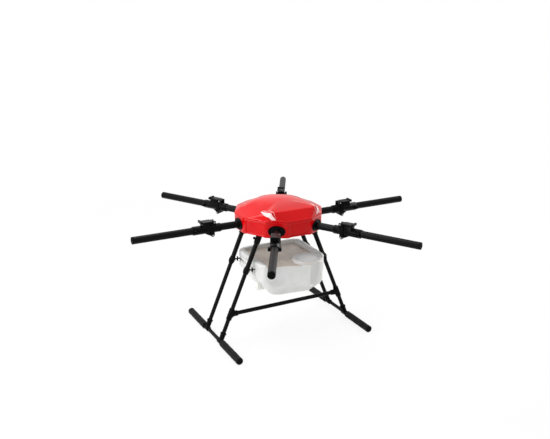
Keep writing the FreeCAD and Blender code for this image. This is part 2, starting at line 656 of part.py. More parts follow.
def brace_joint(side):
    """Sleeve on the leg, collar for the brace and an arched gusset between them."""
    y = leg_y("brace_height")
    inner = f"({y} - brace_collar_length)"
    collar_start = inner if side > 0 else f"-{y}"
    at = {"x": "leg_x", "z": "brace_height"}
    web = new_body("BraceGusset")
    profile = new_sketch(web, "YZ_Plane", "leg_x - brace_gusset / 2")
    rise = "brace_gusset_rise"
    polygon(profile, [(f"{side} * {y}", f"brace_height - {rise}"),
                      (f"{side} * {inner}", "brace_height"),
                      (f"{side} * {leg_y(f'brace_height + {rise}')}", f"brace_height + {rise}")])
    pad(web, profile, "brace_gusset")
    sleeve_start = f"{along_leg('brace_height')} - brace_sleeve / 2"
    sleeve = on_leg(rod("brace_collar", sleeve_start, "brace_sleeve"), 1, side)
    bore_start = f"({inner} - 1)" if side > 0 else f"-({y} - brace_setback + fit_clearance)"
    return cut(fuse(sleeve, rod("brace_collar", collar_start, "brace_collar_length", "Y", **at), web),
               on_leg(rod(fitted("lower_leg_diameter"), f"{sleeve_start} - 1", "brace_sleeve + 2"),
                      1, side),
               rod(fitted("brace_diameter"), bore_start,
                   "brace_collar_length - brace_setback + fit_clearance + 1", "Y", **at))


def skid_line(diameter, start, length, side):
    return rod(diameter, start, length, "X", y=f"{side} * skid_half_track", z="skid_height")


SKID_BORE = "skid_diameter - 2 * skid_wall"
SKID_TUBE_END = "(skid_half_length - skid_plug_cap)"


def foam_sleeve(fore, side):
    length = f"({SKID_TUBE_END} - foam_start)"
    start = "foam_start" if fore > 0 else f"-{SKID_TUBE_END}"
    return cut(skid_line("foam_diameter", start, length, side),
               skid_line(fitted("skid_diameter"), f"{start} - 1", f"{length} + 2", side))


def skid_plug(fore, side):
    cap = SKID_TUBE_END if fore > 0 else "-skid_half_length"
    spigot = f"{SKID_TUBE_END} - skid_plug_depth" if fore > 0 else f"-{SKID_TUBE_END}"
    return fuse(skid_line("skid_diameter", cap, "skid_plug_cap", side),
                skid_line(f"{SKID_BORE} - 2 * fit_clearance", spigot, "skid_plug_depth", side))


for name, side in (("left", 1), ("right", -1)):
    node(f"skid_tube_{name}",
         cut(skid_line("skid_diameter", f"-{SKID_TUBE_END}", f"2 * {SKID_TUBE_END}", side),
             skid_line(SKID_BORE, "-skid_half_length", "2 * skid_half_length", side)))
node("foam_sleeves", *[foam_sleeve(*leg) for leg in LEGS.values()])
node("skid_end_plugs", *[skid_plug(*leg) for leg in LEGS.values()])
for name, leg in LEGS.items():
    node(f"lower_leg_tube_{name}", on_leg(lower_leg(), *leg))
node("upper_leg_tubes", *[on_leg(upper_leg(), *leg) for leg in LEGS.values()])
node("leg_root_sockets", *[leg_socket(*leg) for leg in LEGS.values()])
node("leg_couplers", *[coupler(*leg) for leg in LEGS.values()])
node("skid_tees", *[skid_tee(*leg) for leg in LEGS.values()])
node("brace_joints", brace_joint(1), brace_joint(-1))
BRACE_END = f"({leg_y('brace_height')} - brace_setback)"
node("cross_brace_tube", tube("brace_diameter", "brace_diameter - 2 * brace_wall", f"-{BRACE_END}",
                              f"2 * {BRACE_END}", "Y", x="leg_x", z="brace_height"))


# ---- tank -----------------------------------------------------------------------------------

def tank_form(inset, top):
    """Rounded box that narrows to its foot, moved in by a wall's thickness."""
    body = new_body("TankForm")
    opened = "(tank_shoulder - tank_bottom) / (tank_flare - tank_bottom)"
    middle = f"(tank_foot_half_width + (tank_half_width - tank_foot_half_width) * {opened})"
    levels = [(f"tank_bottom + {inset}", "tank_foot_back", "tank_foot_front", "tank_foot_half_width"),
              (f"tank_shoulder + {inset} / 2", "tank_back", "tank_front", middle),
              (f"tank_flare + {inset} / 2", "tank_back", "tank_front", "tank_half_width"),
              (top, "tank_back", "tank_front", "tank_half_width")]
    outlines = []
    for height, back, front, half_width in levels:
        sketch = new_sketch(body, offset=height)
        rounded_box_outline(sketch, f"-{back} + {inset}", f"{front} - {inset}",
                            f"{half_width} - {inset}", f"(tank_corner - {inset})")
        outlines.append(sketch)
    loft = body.newObject("PartDesign::AdditiveLoft", "Sides")
    loft.Profile = outlines[0]
    loft.Sections = outlines[1:]
    loft.Ruled = True
    return body


def lobe(inset, top):
    """Upright round bulge under the filler, drawn in below."""
    at = {"x": "lobe_x", "y": "lobe_y"}
    foot = bind(doc.addObject("Part::Cone", "LobeFoot"), Radius1=f"lobe_foot_diameter / 2 - {inset}",
                Radius2=f"lobe_diameter / 2 - {inset}", Height="tank_shoulder - tank_bottom")
    put(foot, "lobe_x", "lobe_y", f"tank_bottom + {inset}")
    return fuse(foot, rod(f"lobe_diameter - 2 * {inset}", f"tank_shoulder + {inset}",
                          f"{top} - tank_shoulder - {inset}", "Z", **at))


def flank(inset, top):
    """Flat flank from the tank's front to the round bulge, drawn in towards the foot."""
    lean = "(flank_angle * 1deg)"
    rim = f"(lobe_diameter / 2 - {inset})"
    touch_y = f"(lobe_y - {rim} * cos({lean}))"
    start_y = f"({touch_y} - (lobe_x + {rim} * sin({lean}) - tank_front + {inset}) * tan({lean}))"
    body = new_body("Flank")
    levels = [(f"tank_bottom + {inset}", "tank_foot_front", f"(lobe_foot_diameter / 2 - {inset})"),
              (f"tank_shoulder + {inset} / 2", "tank_front", rim), (top, "tank_front", rim)]
    outlines = []
    for height, front, radius in levels:
        sketch = new_sketch(body, offset=height)
        root = f"{front} - tank_corner"
        polygon(sketch, [(f"{front} - {inset}", start_y),
                         (f"lobe_x + {radius} * sin({lean})", f"lobe_y - {radius} * cos({lean})"),
                         (root, "lobe_y"), (root, start_y)])
        outlines.append(sketch)
    loft = body.newObject("PartDesign::AdditiveLoft", "Sides")
    loft.Profile = outlines[0]
    loft.Sections = outlines[1:]
    loft.Ruled = True
    return body


GROOVE_TOP = "coupler_height + peg_head_diameter / 2 + rest_clearance"


def groove(side, wall):
    """Room beside the tank for the T pegs, open at the back and closed past the front peg."""
    deep = f"(groove_depth + {wall})"
    y = f"tank_half_width - {deep}" if side > 0 else "-tank_half_width - 1"
    return box("-tank_back - 1", y, f"{GROOVE_TOP} - groove_height - {wall}",
               f"tank_back + 1 + leg_x + peg_head_diameter / 2 + rest_clearance + {wall}",
               f"{deep} + 1", f"groove_height + 2 * {wall}")


def tank():
    deck = "(tank_top - deck_depth)"
    recess = fuse(block("-tank_back + deck_margin", deck, "tank_back + 2 * tank_front",
                        "2 * (tank_half_width - deck_margin)", "deck_depth + 1"),
                  rod("lid_diameter + 2 * part_clearance", deck, "deck_depth + 1", "Z",
                      x="lobe_x", y="lobe_y"))
    ribs = [box("-tank_back + deck_margin / 2", f"{k} * rib_pitch - rib_width / 2", f"{deck} - 1",
                "tank_back + tank_front - 2 * deck_margin", "rib_width", "rib_height + 1")
            for k in range(-3, 4)]
    outer = fuse(cut(tank_form("0", "tank_top"), recess), *ribs, lobe("0", "lobe_top"),
                 flank("0", deck))
    cavity = cut(fuse(tank_form("tank_wall", f"{deck} - tank_wall"),
                      flank("tank_wall", f"{deck} - tank_wall"),
                      lobe("tank_wall", "(lobe_top - tank_wall)")),
                 groove(1, "tank_wall"), groove(-1, "tank_wall"))
    mouth = rod("mouth_diameter", "lobe_top - 3 * tank_wall", "6 * tank_wall", "Z",
                x="lobe_x", y="lobe_y")
    return cut(outer, cavity, mouth, groove(1, "0"), groove(-1, "0"))


def lid():
    at = {"x": "lobe_x", "y": "lobe_y"}
    face = "lobe_top + rest_clearance"
    return fuse(rod("lid_diameter", face, "lid_height", "Z", **at),
                rod("mouth_diameter - 2 * part_clearance", f"{face} - lid_spigot_depth",
                    "lid_spigot_depth", "Z", **at))


def outlet():
    """Block that follows the tank's underside, bored from below."""
    low = "tank_bottom - outlet_drop"
    outer = "outlet_y - outlet_width / 2"
    raw = box("outlet_x - outlet_length / 2", outer, low, "outlet_length", "outlet_width",
              f"tank_flare - ({low})")
    return cut(raw, tank_form("0", "tank_top"),
               rod("outlet_bore", f"{low} - 1", "outlet_bore_depth + 1", "Z", x="outlet_x",
                   y=f"{outer} + outlet_bore_inset"))


node("tank", tank())
node("tank_lid", lid())
node("tank_outlet", outlet())


# ---- check and export -----------------------------------------------------------------------

doc.recompute()
for thing in doc.Objects:
    if "Invalid" in thing.State or "Error" in thing.State:
        raise RuntimeError(f"{thing.Name} {thing.Label} failed: {thing.State}")
os.makedirs("parts", exist_ok=True)
for thing in nodes:
    shape = thing.Shape
    if shape.isNull() or not shape.isValid() or not shape.Solids:
        raise RuntimeError(f"{thing.Label} has no valid shape")
    shape.exportStep(f"parts/{thing.Label}.step")
    corners = shape.BoundBox
    print(f"{thing.Label}: {len(shape.Solids)} solids, {shape.Volume / 1000:.1f} cm3, "
          f"x {corners.XMin:.1f} {corners.XMax:.1f} y {corners.YMin:.1f} {corners.YMax:.1f} "
          f"z {corners.ZMin:.1f} {corners.ZMax:.1f}")
print(len(nodes), "nodes")
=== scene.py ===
# Looks of a folding six-arm spraying drone frame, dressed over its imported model.
import math

import bmesh
import bpy
import mathutils
import numpy as np
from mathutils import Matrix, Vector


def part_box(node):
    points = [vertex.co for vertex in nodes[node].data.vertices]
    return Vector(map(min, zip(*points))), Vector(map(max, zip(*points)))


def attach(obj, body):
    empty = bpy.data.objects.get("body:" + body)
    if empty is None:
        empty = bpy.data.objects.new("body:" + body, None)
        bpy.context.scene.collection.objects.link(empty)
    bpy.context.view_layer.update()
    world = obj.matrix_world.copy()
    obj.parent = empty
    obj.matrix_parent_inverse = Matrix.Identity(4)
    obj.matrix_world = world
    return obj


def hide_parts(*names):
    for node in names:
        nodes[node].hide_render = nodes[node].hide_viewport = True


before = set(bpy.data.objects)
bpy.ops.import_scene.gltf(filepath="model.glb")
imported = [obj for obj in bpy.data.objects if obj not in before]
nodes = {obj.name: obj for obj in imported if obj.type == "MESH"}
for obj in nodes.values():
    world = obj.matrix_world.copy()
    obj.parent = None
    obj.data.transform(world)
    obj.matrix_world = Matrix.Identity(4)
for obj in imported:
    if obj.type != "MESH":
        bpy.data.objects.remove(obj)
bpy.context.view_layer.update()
mm = 0.001
print("frame loaded:", len(nodes), "nodes")

armAzimuth = {"front_left": 30, "mid_left": 90, "rear_left": 150,
              "rear_right": 210, "mid_right": 270, "front_right": 330}
legSign = {"front_left": (1, 1), "rear_left": (-1, 1), "front_right": (1, -1), "rear_right": (-1, -1)}
armLow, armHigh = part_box("arm_tube_mid_left")
armHeight = (armLow.z + armHigh.z) / 2 / mm      # the arms' axis, mm above the floor


# small tools

# degrees at which an edge is sharp, a joint between faces is flat and a corner is rounded;
# points closer than merge, in mm, become one
edges = {"sharp": 35, "flat": 1.5, "corner": 32, "merge": 0.02}


def linear(hexText):
    # sRGB hex to linear colour
    part = np.array([int(hexText[i:i + 2], 16) for i in (1, 3, 5)]) / 255
    return (*np.where(part <= 0.04045, part / 12.92, ((part + 0.055) / 1.055) ** 2.4).tolist(), 1.0)


def addNode(tree, kind, settings=None, links=None):
    # one shader node; settings are its own fields, links its inputs by name or number
    made = tree.nodes.new("ShaderNode" + kind)
    for field, value in (settings or {}).items():
        setattr(made, field, value)
    for place, value in (links or {}).items():
        if isinstance(value, bpy.types.NodeSocket):
            tree.links.new(value, made.inputs[place])
        else:
            made.inputs[place].default_value = value
    return made


def smoothStep(value, low, high):
    # 0 below low, 1 above high and 3 t^2 - 2 t^3 between
    t = np.clip((value - low) / (high - low), 0, 1)
    return t * t * (3 - 2 * t)


def softMin(values, softness):
    # lowest of several arrays, rounded over a length where they meet
    values = np.asarray(values, float)
    low = values.min(0)
    return low - softness * np.log(np.exp(-(values - low) / softness).sum(0))


def curveThrough(at, value, x):
    # cubic through the given stations, slopes from their neighbours
    at, value = np.asarray(at, float), np.asarray(value, float)
    slope = np.gradient(value, at)
    i = np.clip(np.searchsorted(at, x) - 1, 0, len(at) - 2)
    h = at[i + 1] - at[i]
    t = (x - at[i]) / h
    return ((2 * t**3 - 3 * t**2 + 1) * value[i] + (t**3 - 2 * t**2 + t) * h * slope[i]
            + (3 * t**2 - 2 * t**3) * value[i + 1] + (t**3 - t**2) * h * slope[i + 1])


def gridShell(points, uv=None, roundU=False, roundV=True, poles=()):
    # points is rows by columns by xyz in mm. Quads join neighbours, round ways wrap,
    # and a row named in poles ("start", "end") shrinks to one point with a fan of triangles.
    # uv gives the rows' and columns' places in mm; left out, they are those of an arm tube
    rows, columns = points.shape[:2]
    if uv is None:
        along = np.r_[0, np.cumsum(np.linalg.norm(np.diff(points[:, 0], axis=0), axis=1))]
        around = np.arange(columns + 1) / columns * 2 * math.pi * 19
        uv = (along, around)
    r = np.arange(rows if roundU else rows - 1)
    c = np.arange(columns if roundV else columns - 1)
    rr, cc = np.meshgrid(r, c, indexing="ij")
    r1, c1 = (rr + 1) % rows, (cc + 1) % columns
    quads = np.stack([rr * columns + cc, r1 * columns + cc, r1 * columns + c1, rr * columns + c1], -1)
    u0, u1 = uv[0][rr], np.append(uv[0], uv[0][-1] + 1)[rr + 1]
    v0, v1 = uv[1][cc], np.append(uv[1], uv[1][-1] + 1)[cc + 1]
    maps = np.stack([np.stack([u0, v0], -1), np.stack([u1, v0], -1),
                     np.stack([u1, v1], -1), np.stack([u0, v1], -1)], -2) * mm
    quads, maps = quads.reshape(-1, 4), maps.reshape(-1, 4, 2)
    tris, triMaps = np.zeros((0, 3), int), np.zeros((0, 3, 2))
    rowOf = quads[:, 0] // columns
    for end, row, keep in (("start", 0, [0, 1, 2]), ("end", rows - 2, [0, 1, 3])):
        if end in poles:
            fan = rowOf == row
            tri, triMap = quads[fan][:, keep].copy(), maps[fan][:, keep]
            point = 0 if end == "start" else 1
            tri[:, point] = tri[0, point]
            tris, triMaps = np.vstack([tris, tri]), np.vstack([triMaps, triMap])
            quads, maps, rowOf = quads[~fan], maps[~fan], rowOf[~fan]
    return points.reshape(-1, 3), quads, tris, maps, triMaps


def placed(points, origin=(0, 0, 0), ahead=(1, 0, 0), up=(0, 0, 1)):
    # local x runs ahead, z nearest to up, from the origin
    x = np.array(ahead, float) / np.linalg.norm(ahead)
    y = np.cross(up, x)
    y /= np.linalg.norm(y)
    return points @ np.array([x, y, np.cross(x, y)]) + np.array(origin, float)


def onArm(points, azimuth):
    # local x runs out along the arm at this azimuth
    turn = math.radians(azimuth)
    return placed(points, (0, 0, armHeight), (math.cos(turn), math.sin(turn), 0))


def lathe(profile, steps=48, shape=None):
    # closed profile of (distance along x, radius); a point is (s, r cos a, r sin a)
    profile = np.array(profile, float)
    a = np.arange(steps) / steps * 2 * math.pi
    radius = profile[:, 1, None] * (np.ones_like(a) if shape is None else shape(profile[:, 0, None], a))
    return np.stack([np.broadcast_to(profile[:, 0, None], radius.shape),
                     radius * np.cos(a), radius * np.sin(a)], -1)


def ovalLoft(stations, steps=48):
    # stations of (x, half width, half height, squareness, lift): superellipse sections
    s = np.array(stations, float)[:, :, None]
    a = np.arange(steps) / steps * 2 * math.pi
    wave = [np.sign(f(a)) * np.abs(f(a)) ** (2 / s[:, 3]) for f in (np.cos, np.sin)]
    return np.stack([np.broadcast_to(s[:, 0], wave[0].shape), s[:, 1] * wave[0],
                     s[:, 4] + s[:, 2] * wave[1]], -1)


def makePiece(name, shells, material, body, replaces=(), wall=None):
    # one smooth mesh of several shells, in metres, riding on a body; wall thickens it inwards
    points, faces, maps, start = [], [], [], 0
    for shell, quads, tris, quadMap, triMap in shells:
        points.append(shell)
        faces += (quads + start).tolist() + (tris + start).tolist()
        maps += [quadMap.reshape(-1, 2), triMap.reshape(-1, 2)]
        start += len(shell)
    mesh = bpy.data.meshes.new(name)
    mesh.from_pydata((np.vstack(points) * mm).tolist(), [], faces)
    mesh.uv_layers.new(name="Surface").data.foreach_set("uv", np.vstack(maps).ravel())
    mesh.polygons.foreach_set("use_smooth", [True] * len(mesh.polygons))
    mesh.materials.append(material)
    mesh.update()
    piece = bpy.data.objects.new(name, mesh)
    bpy.context.scene.collection.objects.link(piece)
    bpy.context.view_layer.objects.active = piece
    mesh.set_sharp_from_angle(angle=math.radians(edges["sharp"]))
    if wall:
        thick = piece.modifiers.new("Wall", "SOLIDIFY")
        thick.thickness, thick.offset = wall * mm, -1
    if replaces:
        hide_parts(*replaces)
    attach(piece, body)
    return piece


def softened(node, material, body, width):
    # a copy of a machined or moulded CAD piece: merged, its flats joined, its edges rounded
    source = nodes[node]
    mesh = source.data.copy()
    mesh.name = node + "_finish"
    piece = bpy.data.objects.new(mesh.name, mesh)
    bpy.context.scene.collection.objects.link(piece)
    work = bmesh.new()
    work.from_mesh(mesh)
    bmesh.ops.remove_doubles(work, verts=work.verts, dist=edges["merge"] * mm)
    bmesh.ops.dissolve_limit(work, angle_limit=math.radians(edges["flat"]), verts=work.verts,
                             edges=work.edges)
    work.to_mesh(mesh)
    work.free()
    mesh.polygons.foreach_set("use_smooth", [True] * len(mesh.polygons))
    mesh.materials.clear()
    mesh.materials.append(material)
    rounding = piece.modifiers.new("Rounding", "BEVEL")
    rounding.width, rounding.segments, rounding.limit_method = width * mm, 2, "ANGLE"
    rounding.angle_limit = math.radians(edges["corner"])
    rounding.harden_normals = True
    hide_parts(node)
    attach(piece, body)
    return piece


# materials

def startMaterial(name, colour, roughness, **sockets):
    # principled shader with plain values; an underscore in a socket's name stands for a space
    material = bpy.data.materials.new(name)
    material.use_nodes = True
    tree = material.node_tree
    shader = tree.nodes["Principled BSDF"]
    shader.inputs["Base Color"].default_value = linear(colour)
    shader.inputs["Roughness"].default_value = roughness
    for socket, value in sockets.items():
        shader.inputs[socket.replace("_", " ")].default_value = value
    material.diffuse_color = linear(colour)
    return material, tree, shader


def weather(tree, shader, tones=None, sheen=None, relief=None):
    # what most finishes share, each from a noise of its own, its bumps about size mm across.
    # tones: size, detail, two colours and the noise values that give them; sheen: size, detail
    # and two roughnesses; relief: size, detail, depth in mm and strength
    for use, values in (("Base Color", tones), ("Roughness", sheen), ("Normal", relief)):
        if values is None:
            continue
        size, detail, low, high, *ends = values
        made = addNode(tree, "TexNoise", None, {"Vector": addNode(tree, "TexCoord").outputs["Object"],
                                                "Scale": 1 / (size * mm), "Detail": detail}).outputs["Fac"]
        if use == "Normal":
            made = addNode(tree, "Bump", None, {"Height": made, "Distance": low * mm,
                                                "Strength": high}).outputs["Normal"]
        else:
            start, stop = ends or (0.3, 0.7)
            blend = use == "Base Color"
            made = addNode(tree, "MapRange", None, {0: made, 1: start, 2: stop, 3: 0 if blend else low,
                                                    4: 1 if blend else high}).outputs[0]
            if blend:
                made = addNode(tree, "Mix", {"data_type": "RGBA"},
                               {0: made, 6: linear(low), 7: linear(high)}).outputs[2]
        tree.links.new(made, shader.inputs[use])


def glossRed():
    # injection moulded ABS with a sprayed gloss lacquer: deep red, sharp window-like
    # reflections that wander a little over the orange peel of the paint
    material, tree, shader = startMaterial("lacqueredAbs", "#CA050C", 0.14, IOR=1.26)
    weather(tree, shader, (160, 1, "#C2040A", "#D2060D"), (30, 3, 0.10, 0.22), (7, 1, 0.02, 1.0))
    return material


def twill(tree, place, tow):
    # 2 by 2 twill: tow (column + row) mod 4 below 2 runs along u, the rest across;
    # gives which tow is on top and how high it arches over its width
    split = addNode(tree, "SeparateXYZ", None, {0: place})
    cells, parts = [], []
    for axis in (0, 1):
        scaled = addNode(tree, "Math", {"operation": "MULTIPLY"},
                         {0: split.outputs[axis], 1: 1 / (tow * mm)}).outputs[0]
        cells.append(addNode(tree, "Math", {"operation": "FLOOR"}, {0: scaled}).outputs[0])
        parts.append(addNode(tree, "Math", {"operation": "FRACT"}, {0: scaled}).outputs[0])
    total = addNode(tree, "Math", {"operation": "ADD"}, {0: cells[0], 1: cells[1]}).outputs[0]
    phase = addNode(tree, "Math", {"operation": "FLOORED_MODULO"}, {0: total, 1: 4.0}).outputs[0]
    onTop = addNode(tree, "Math", {"operation": "LESS_THAN"}, {0: phase, 1: 1.5}).outputs[0]
    across = addNode(tree, "Mix", {"data_type": "FLOAT"},
                     {0: onTop, 2: parts[0], 3: parts[1]}).outputs[0]
    offset = addNode(tree, "Math", {"operation": "SUBTRACT"}, {0: across, 1: 0.5}).outputs[0]
    square = addNode(tree, "Math", {"operation": "POWER"},
                     {0: addNode(tree, "Math", {"operation": "ABSOLUTE"}, {0: offset}).outputs[0],
                      1: 2.0}).outputs[0]
    arch = addNode(tree, "Math", {"operation": "MULTIPLY_ADD"}, {0: square, 1: -4.0, 2: 1.0}).outputs[0]
    return onTop, arch


def carbon(name, onSurface, tow, gloss):
    # woven carbon fibre in clear epoxy: near black under a smooth resin skin. The tows lying one way, and
    # each tow's crown, are painted a shade paler: a painted sheen for how the tows catch light. Real tows
    # are 2 mm wide; drawn coarser so they show
    material, tree, shader = startMaterial(name, "#060607", 0.42, IOR=1.16,
                                           Coat_Weight=gloss, Coat_IOR=1.2, Coat_Roughness=0.07)
    place = addNode(tree, "TexCoord").outputs["UV" if onSurface else "Object"]
    onTop, arch = twill(tree, place, tow)
    lit = addNode(tree, "Math", {"operation": "MULTIPLY_ADD"},
                  {0: arch, 1: 0.45, 2: addNode(tree, "Math", {"operation": "MULTIPLY"},
                                                {0: onTop, 1: 0.55}).outputs[0]}).outputs[0]
    # painted sheen: the tows on top and the crowns of the tows get a paler base colour
    tone = addNode(tree, "Mix", {"data_type": "RGBA"},
                   {0: lit, 6: linear("#020202"), 7: linear("#0A0A0B")}).outputs[2]
    dull = addNode(tree, "MapRange", None, {0: lit, 3: 0.55, 4: 0.32}).outputs[0]
    raised = addNode(tree, "Bump", None, {"Height": arch, "Distance": 0.05 * mm, "Strength": 0.5})
    for socket, value in (("Base Color", tone), ("Roughness", dull), ("Normal", raised.outputs[0])):
        tree.links.new(value, shader.inputs[socket])
    return material


def blackAnodised():
    # machined aluminium, bead blasted and black anodised: soft grey sheen, fine even grain,
    # rubbed a little paler in patches
    material, tree, shader = startMaterial("anodisedAluminium", "#0C0C0E", 0.38, Metallic=0.5, IOR=1.2)
    weather(tree, shader, (22, 4, "#050506", "#101012", 0.45, 0.8), (6, 3, 0.30, 0.46),
            (0.9, 2, 0.03, 0.5))
    return material


def blackNylon():
    # glass-filled nylon, injection moulded in an eroded tool: dull black with a fine leather grain
    material, tree, shader = startMaterial("mouldedNylon", "#080809", 0.5, IOR=1.16)
    weather(tree, shader, (18, 3, "#030303", "#080809"), (5, 3, 0.42, 0.6), (1.4, 2, 0.08, 0.5))
    return material


def gripFoam():
    # closed-cell foam hose: matt charcoal, pitted with small open cells, which are painted darker, a
    # painted shade in the pits
    material, tree, shader = startMaterial("closedCellFoam", "#1B1B1C", 0.92, IOR=1.2,
                                           Sheen_Weight=0.05, Sheen_Roughness=0.6)
    cells = addNode(tree, "TexVoronoi", None, {"Vector": addNode(tree, "TexCoord").outputs["Object"],
                                               "Scale": 1 / (3.0 * mm)}).outputs["Distance"]
    pitShade = addNode(tree, "MapRange", None, {0: cells, 1: 0.05, 2: 0.7}).outputs[0]
    # painted shade: darker towards the bottom of each pit
    tone = addNode(tree, "Mix", {"data_type": "RGBA"},
                   {0: pitShade, 6: linear("#060607"), 7: linear("#141415")})
    pits = addNode(tree, "Bump", None, {"Height": cells, "Distance": 0.5 * mm, "Strength": 0.6})
    tree.links.new(tone.outputs[2], shader.inputs["Base Color"])
    tree.links.new(pits.outputs[0], shader.inputs["Normal"])
    return material


def milkyTank(name="blownPolyethylene", pale="#FAFAF6", deep="#ECECE4", warmBounceBand=None):
    # blow moulded natural polyethylene: milky white, waxy sheen, wall thickness showing as
    # faint clouds, light bleeding through the thin parts
    material, tree, shader = startMaterial(name, pale, 0.36, IOR=1.51, Subsurface_Weight=0.5,
                                           Subsurface_Scale=0.03)
    shader.inputs["Subsurface Radius"].default_value = (1.0, 0.95, 0.85)
    weather(tree, shader, (90, 3, deep, pale), (14, 3, 0.28, 0.46), (26, 1, 0.5, 0.6))
    if warmBounceBand:
        # painted warm light: the red hood's glow bounced onto the sunken deck, between two heights, facing
        # up
        low, high = (value * mm for value in warmBounceBand)
        place = addNode(tree, "TexCoord").outputs["Object"]
        height = addNode(tree, "SeparateXYZ", None, {0: place}).outputs[2]
        normal = addNode(tree, "NewGeometry").outputs["Normal"]
        facing = addNode(tree, "SeparateXYZ", None, {0: normal}).outputs[2]
        onDeck = 1.0
        for value, start, stop in ((height, low, low + mm), (height, high, high - mm),
                                   (facing, 0.7, 0.95)):
            share = addNode(tree, "MapRange", None, {0: value, 1: start, 2: stop}).outputs[0]
            onDeck = addNode(tree, "Math", {"operation": "MULTIPLY"}, {0: onDeck, 1: share}).outputs[0]
        clean = shader.inputs["Base Color"].links[0].from_socket
        bounceTint = addNode(tree, "Mix", {"data_type": "RGBA"}, {0: onDeck, 6: clean, 7: linear("#FFEBD6")})
        tree.links.new(bounceTint.outputs[2], shader.inputs["Base Color"])
    return material


def platedSteel():
    # zinc plated screws: bright grey metal with turned marks
    material, tree, shader = startMaterial("zincPlatedSteel", "#A9ABAF", 0.3, Metallic=1.0)
    weather(tree, shader, None, (1.2, 3, 0.2, 0.45), (0.7, 1, 0.02, 0.4))
    return material


def circuitGreen():
    # glass-fibre laminate under green solder mask, with a faint trace pattern
    material, tree, shader = startMaterial("solderMask", "#0D5A2C", 0.35, IOR=1.5, Coat_Weight=0.3)
    traces = addNode(tree, "TexBrick", {"offset": 0.5},
                     {"Vector": addNode(tree, "TexCoord").outputs["Object"], "Scale": 60.0,
                      "Mortar Size": 0.03})
    tone = addNode(tree, "Mix", {"data_type": "RGBA"},
                   {0: traces.outputs["Fac"], 6: linear("#0D5A2C"), 7: linear("#1E7A45")})
    tree.links.new(tone.outputs[2], shader.inputs["Base Color"])
    return material


def lampLens(name, pale, deep):
    # acrylic insert under a clear skin, its tone wandering a little at random; the pale copy is painted
    # highlight, a lamp's white glint on each leaf's lower strip up to its ridge and on its rim
    material, tree, shader = startMaterial(name, pale, 0.12, IOR=1.3, Coat_Weight=0.3,
                                           Coat_Roughness=0.05)
    weather(tree, shader, (24, 2, deep, pale), None, (9, 1, 0.02, 0.5))
    return material


red = glossRed()
tubeCarbon = carbon("rolledCarbonTube", True, 5.0, 0.2)
plateCarbon = carbon("pressedCarbonPlate", False, 5.0, 0.3)
alloy = blackAnodised()
nylon = blackNylon()
foam = gripFoam()
# the deck's warm tint is painted light, the red hood's bounce
milky = milkyTank(warmBounceBand=(422.0, 440.0))
lidWhite = milkyTank("mouldedPolyethylene", "#FCFCFA", "#F6F5F1")
steel = platedSteel()
board = circuitGreen()
# the pale lens colour is painted highlight: a lamp's glint, put on the leaves' lower strips and rims
lensGlintPaint = lampLens("glintPaintedAcrylic", "#F6D9D7", "#EFC2C0")
rose = lampLens("roseAcrylic", "#CF1218", "#C0080E")
print("materials made")


# hood and side shell

body = {"faceApothem": 232.5, "cornerApothem": 236.0, "edgeSoftness": 2.0,
        "shellBottom": -36.0, "hoodFoot": (46.2, 44.5), "hoodInset": 1.0,
        "panelHalf": 55.0, "panelStep": 4.2, "panelEase": 3.0,
        "bead": 1.8, "beadAt": 42.5, "beadHalf": 3.0, "lap": (2.2, 0.3), "curl": 4.0,
        "flange": (10.0, 16.0), "levels": (46, 45, 44, 43, 42, 41, 40, 39, 38, 37, 36, 35, 34, 20,
                                           4, -10, -20, -25, -26.5, -28, -30),
        "screw": (3.8, 1.6, 1.9), "screwAt": (232.3, 0, 42), "panelLow": -28.0, "panelHigh": 38.0,
        "scallop": 2.5, "wall": 2.5}
# mm over the arms' axis; Rise against At is a slope's height against the distance out, for the
# plain sides, for the two behind the nose's corners and for the corners between sides
hoodShape = {"noseEdge": 184.0, "noseTop": 96.4, "crown": 113.8, "noseDrop": -0.93,
             "noseSide": -2.24, "shoulderLift": 26.0, "liftAlong": (25.0, 103.0), "liftOver": 43.5,
             "creaseSoftness": 1.6, "browSoftness": 0.8, "browRound": 6.0, "browSpan": 33.0,
             "crownReach": 60.0, "rimRound": 3.5, "rimTop": 50.5,
             "faceAt": (0, 60, 100, 140, 162, 185, 205, 232.5, 260),
             "faceRise": (113.8, 111.6, 106, 95.5, 86.5, 73.5, 66.5, 50.5, 34),
             "skirtAt": (0, 60, 100, 140, 172, 202, 210, 232.5, 260),
             "skirtRise": (113.8, 111.6, 106, 97, 89, 80, 73.5, 50.5, 20),
             "cornerAt": (0, 60, 100, 140, 165, 190, 212, 236, 260),
             "cornerRise": (113.8, 111.4, 105, 92.5, 80, 67.5, 58.5, 50.5, 40)}


def planRadius(angle, inset=0.0, softness=None):
    # distance to the twelve sided outline: the least of apothem / cos(angle to each side)
    softness = body["edgeSoftness"] if softness is None else softness
    reach = []
    for k in range(12):
        apothem = body["faceApothem"] if k % 2 == 0 else body["cornerApothem"]
        lean = np.cos(angle - math.radians(30 * k))
        reach.append(np.where(lean > 0.5, (apothem - inset) / np.maximum(lean, 0.5), 999.0))
    return softMin(reach, softness)


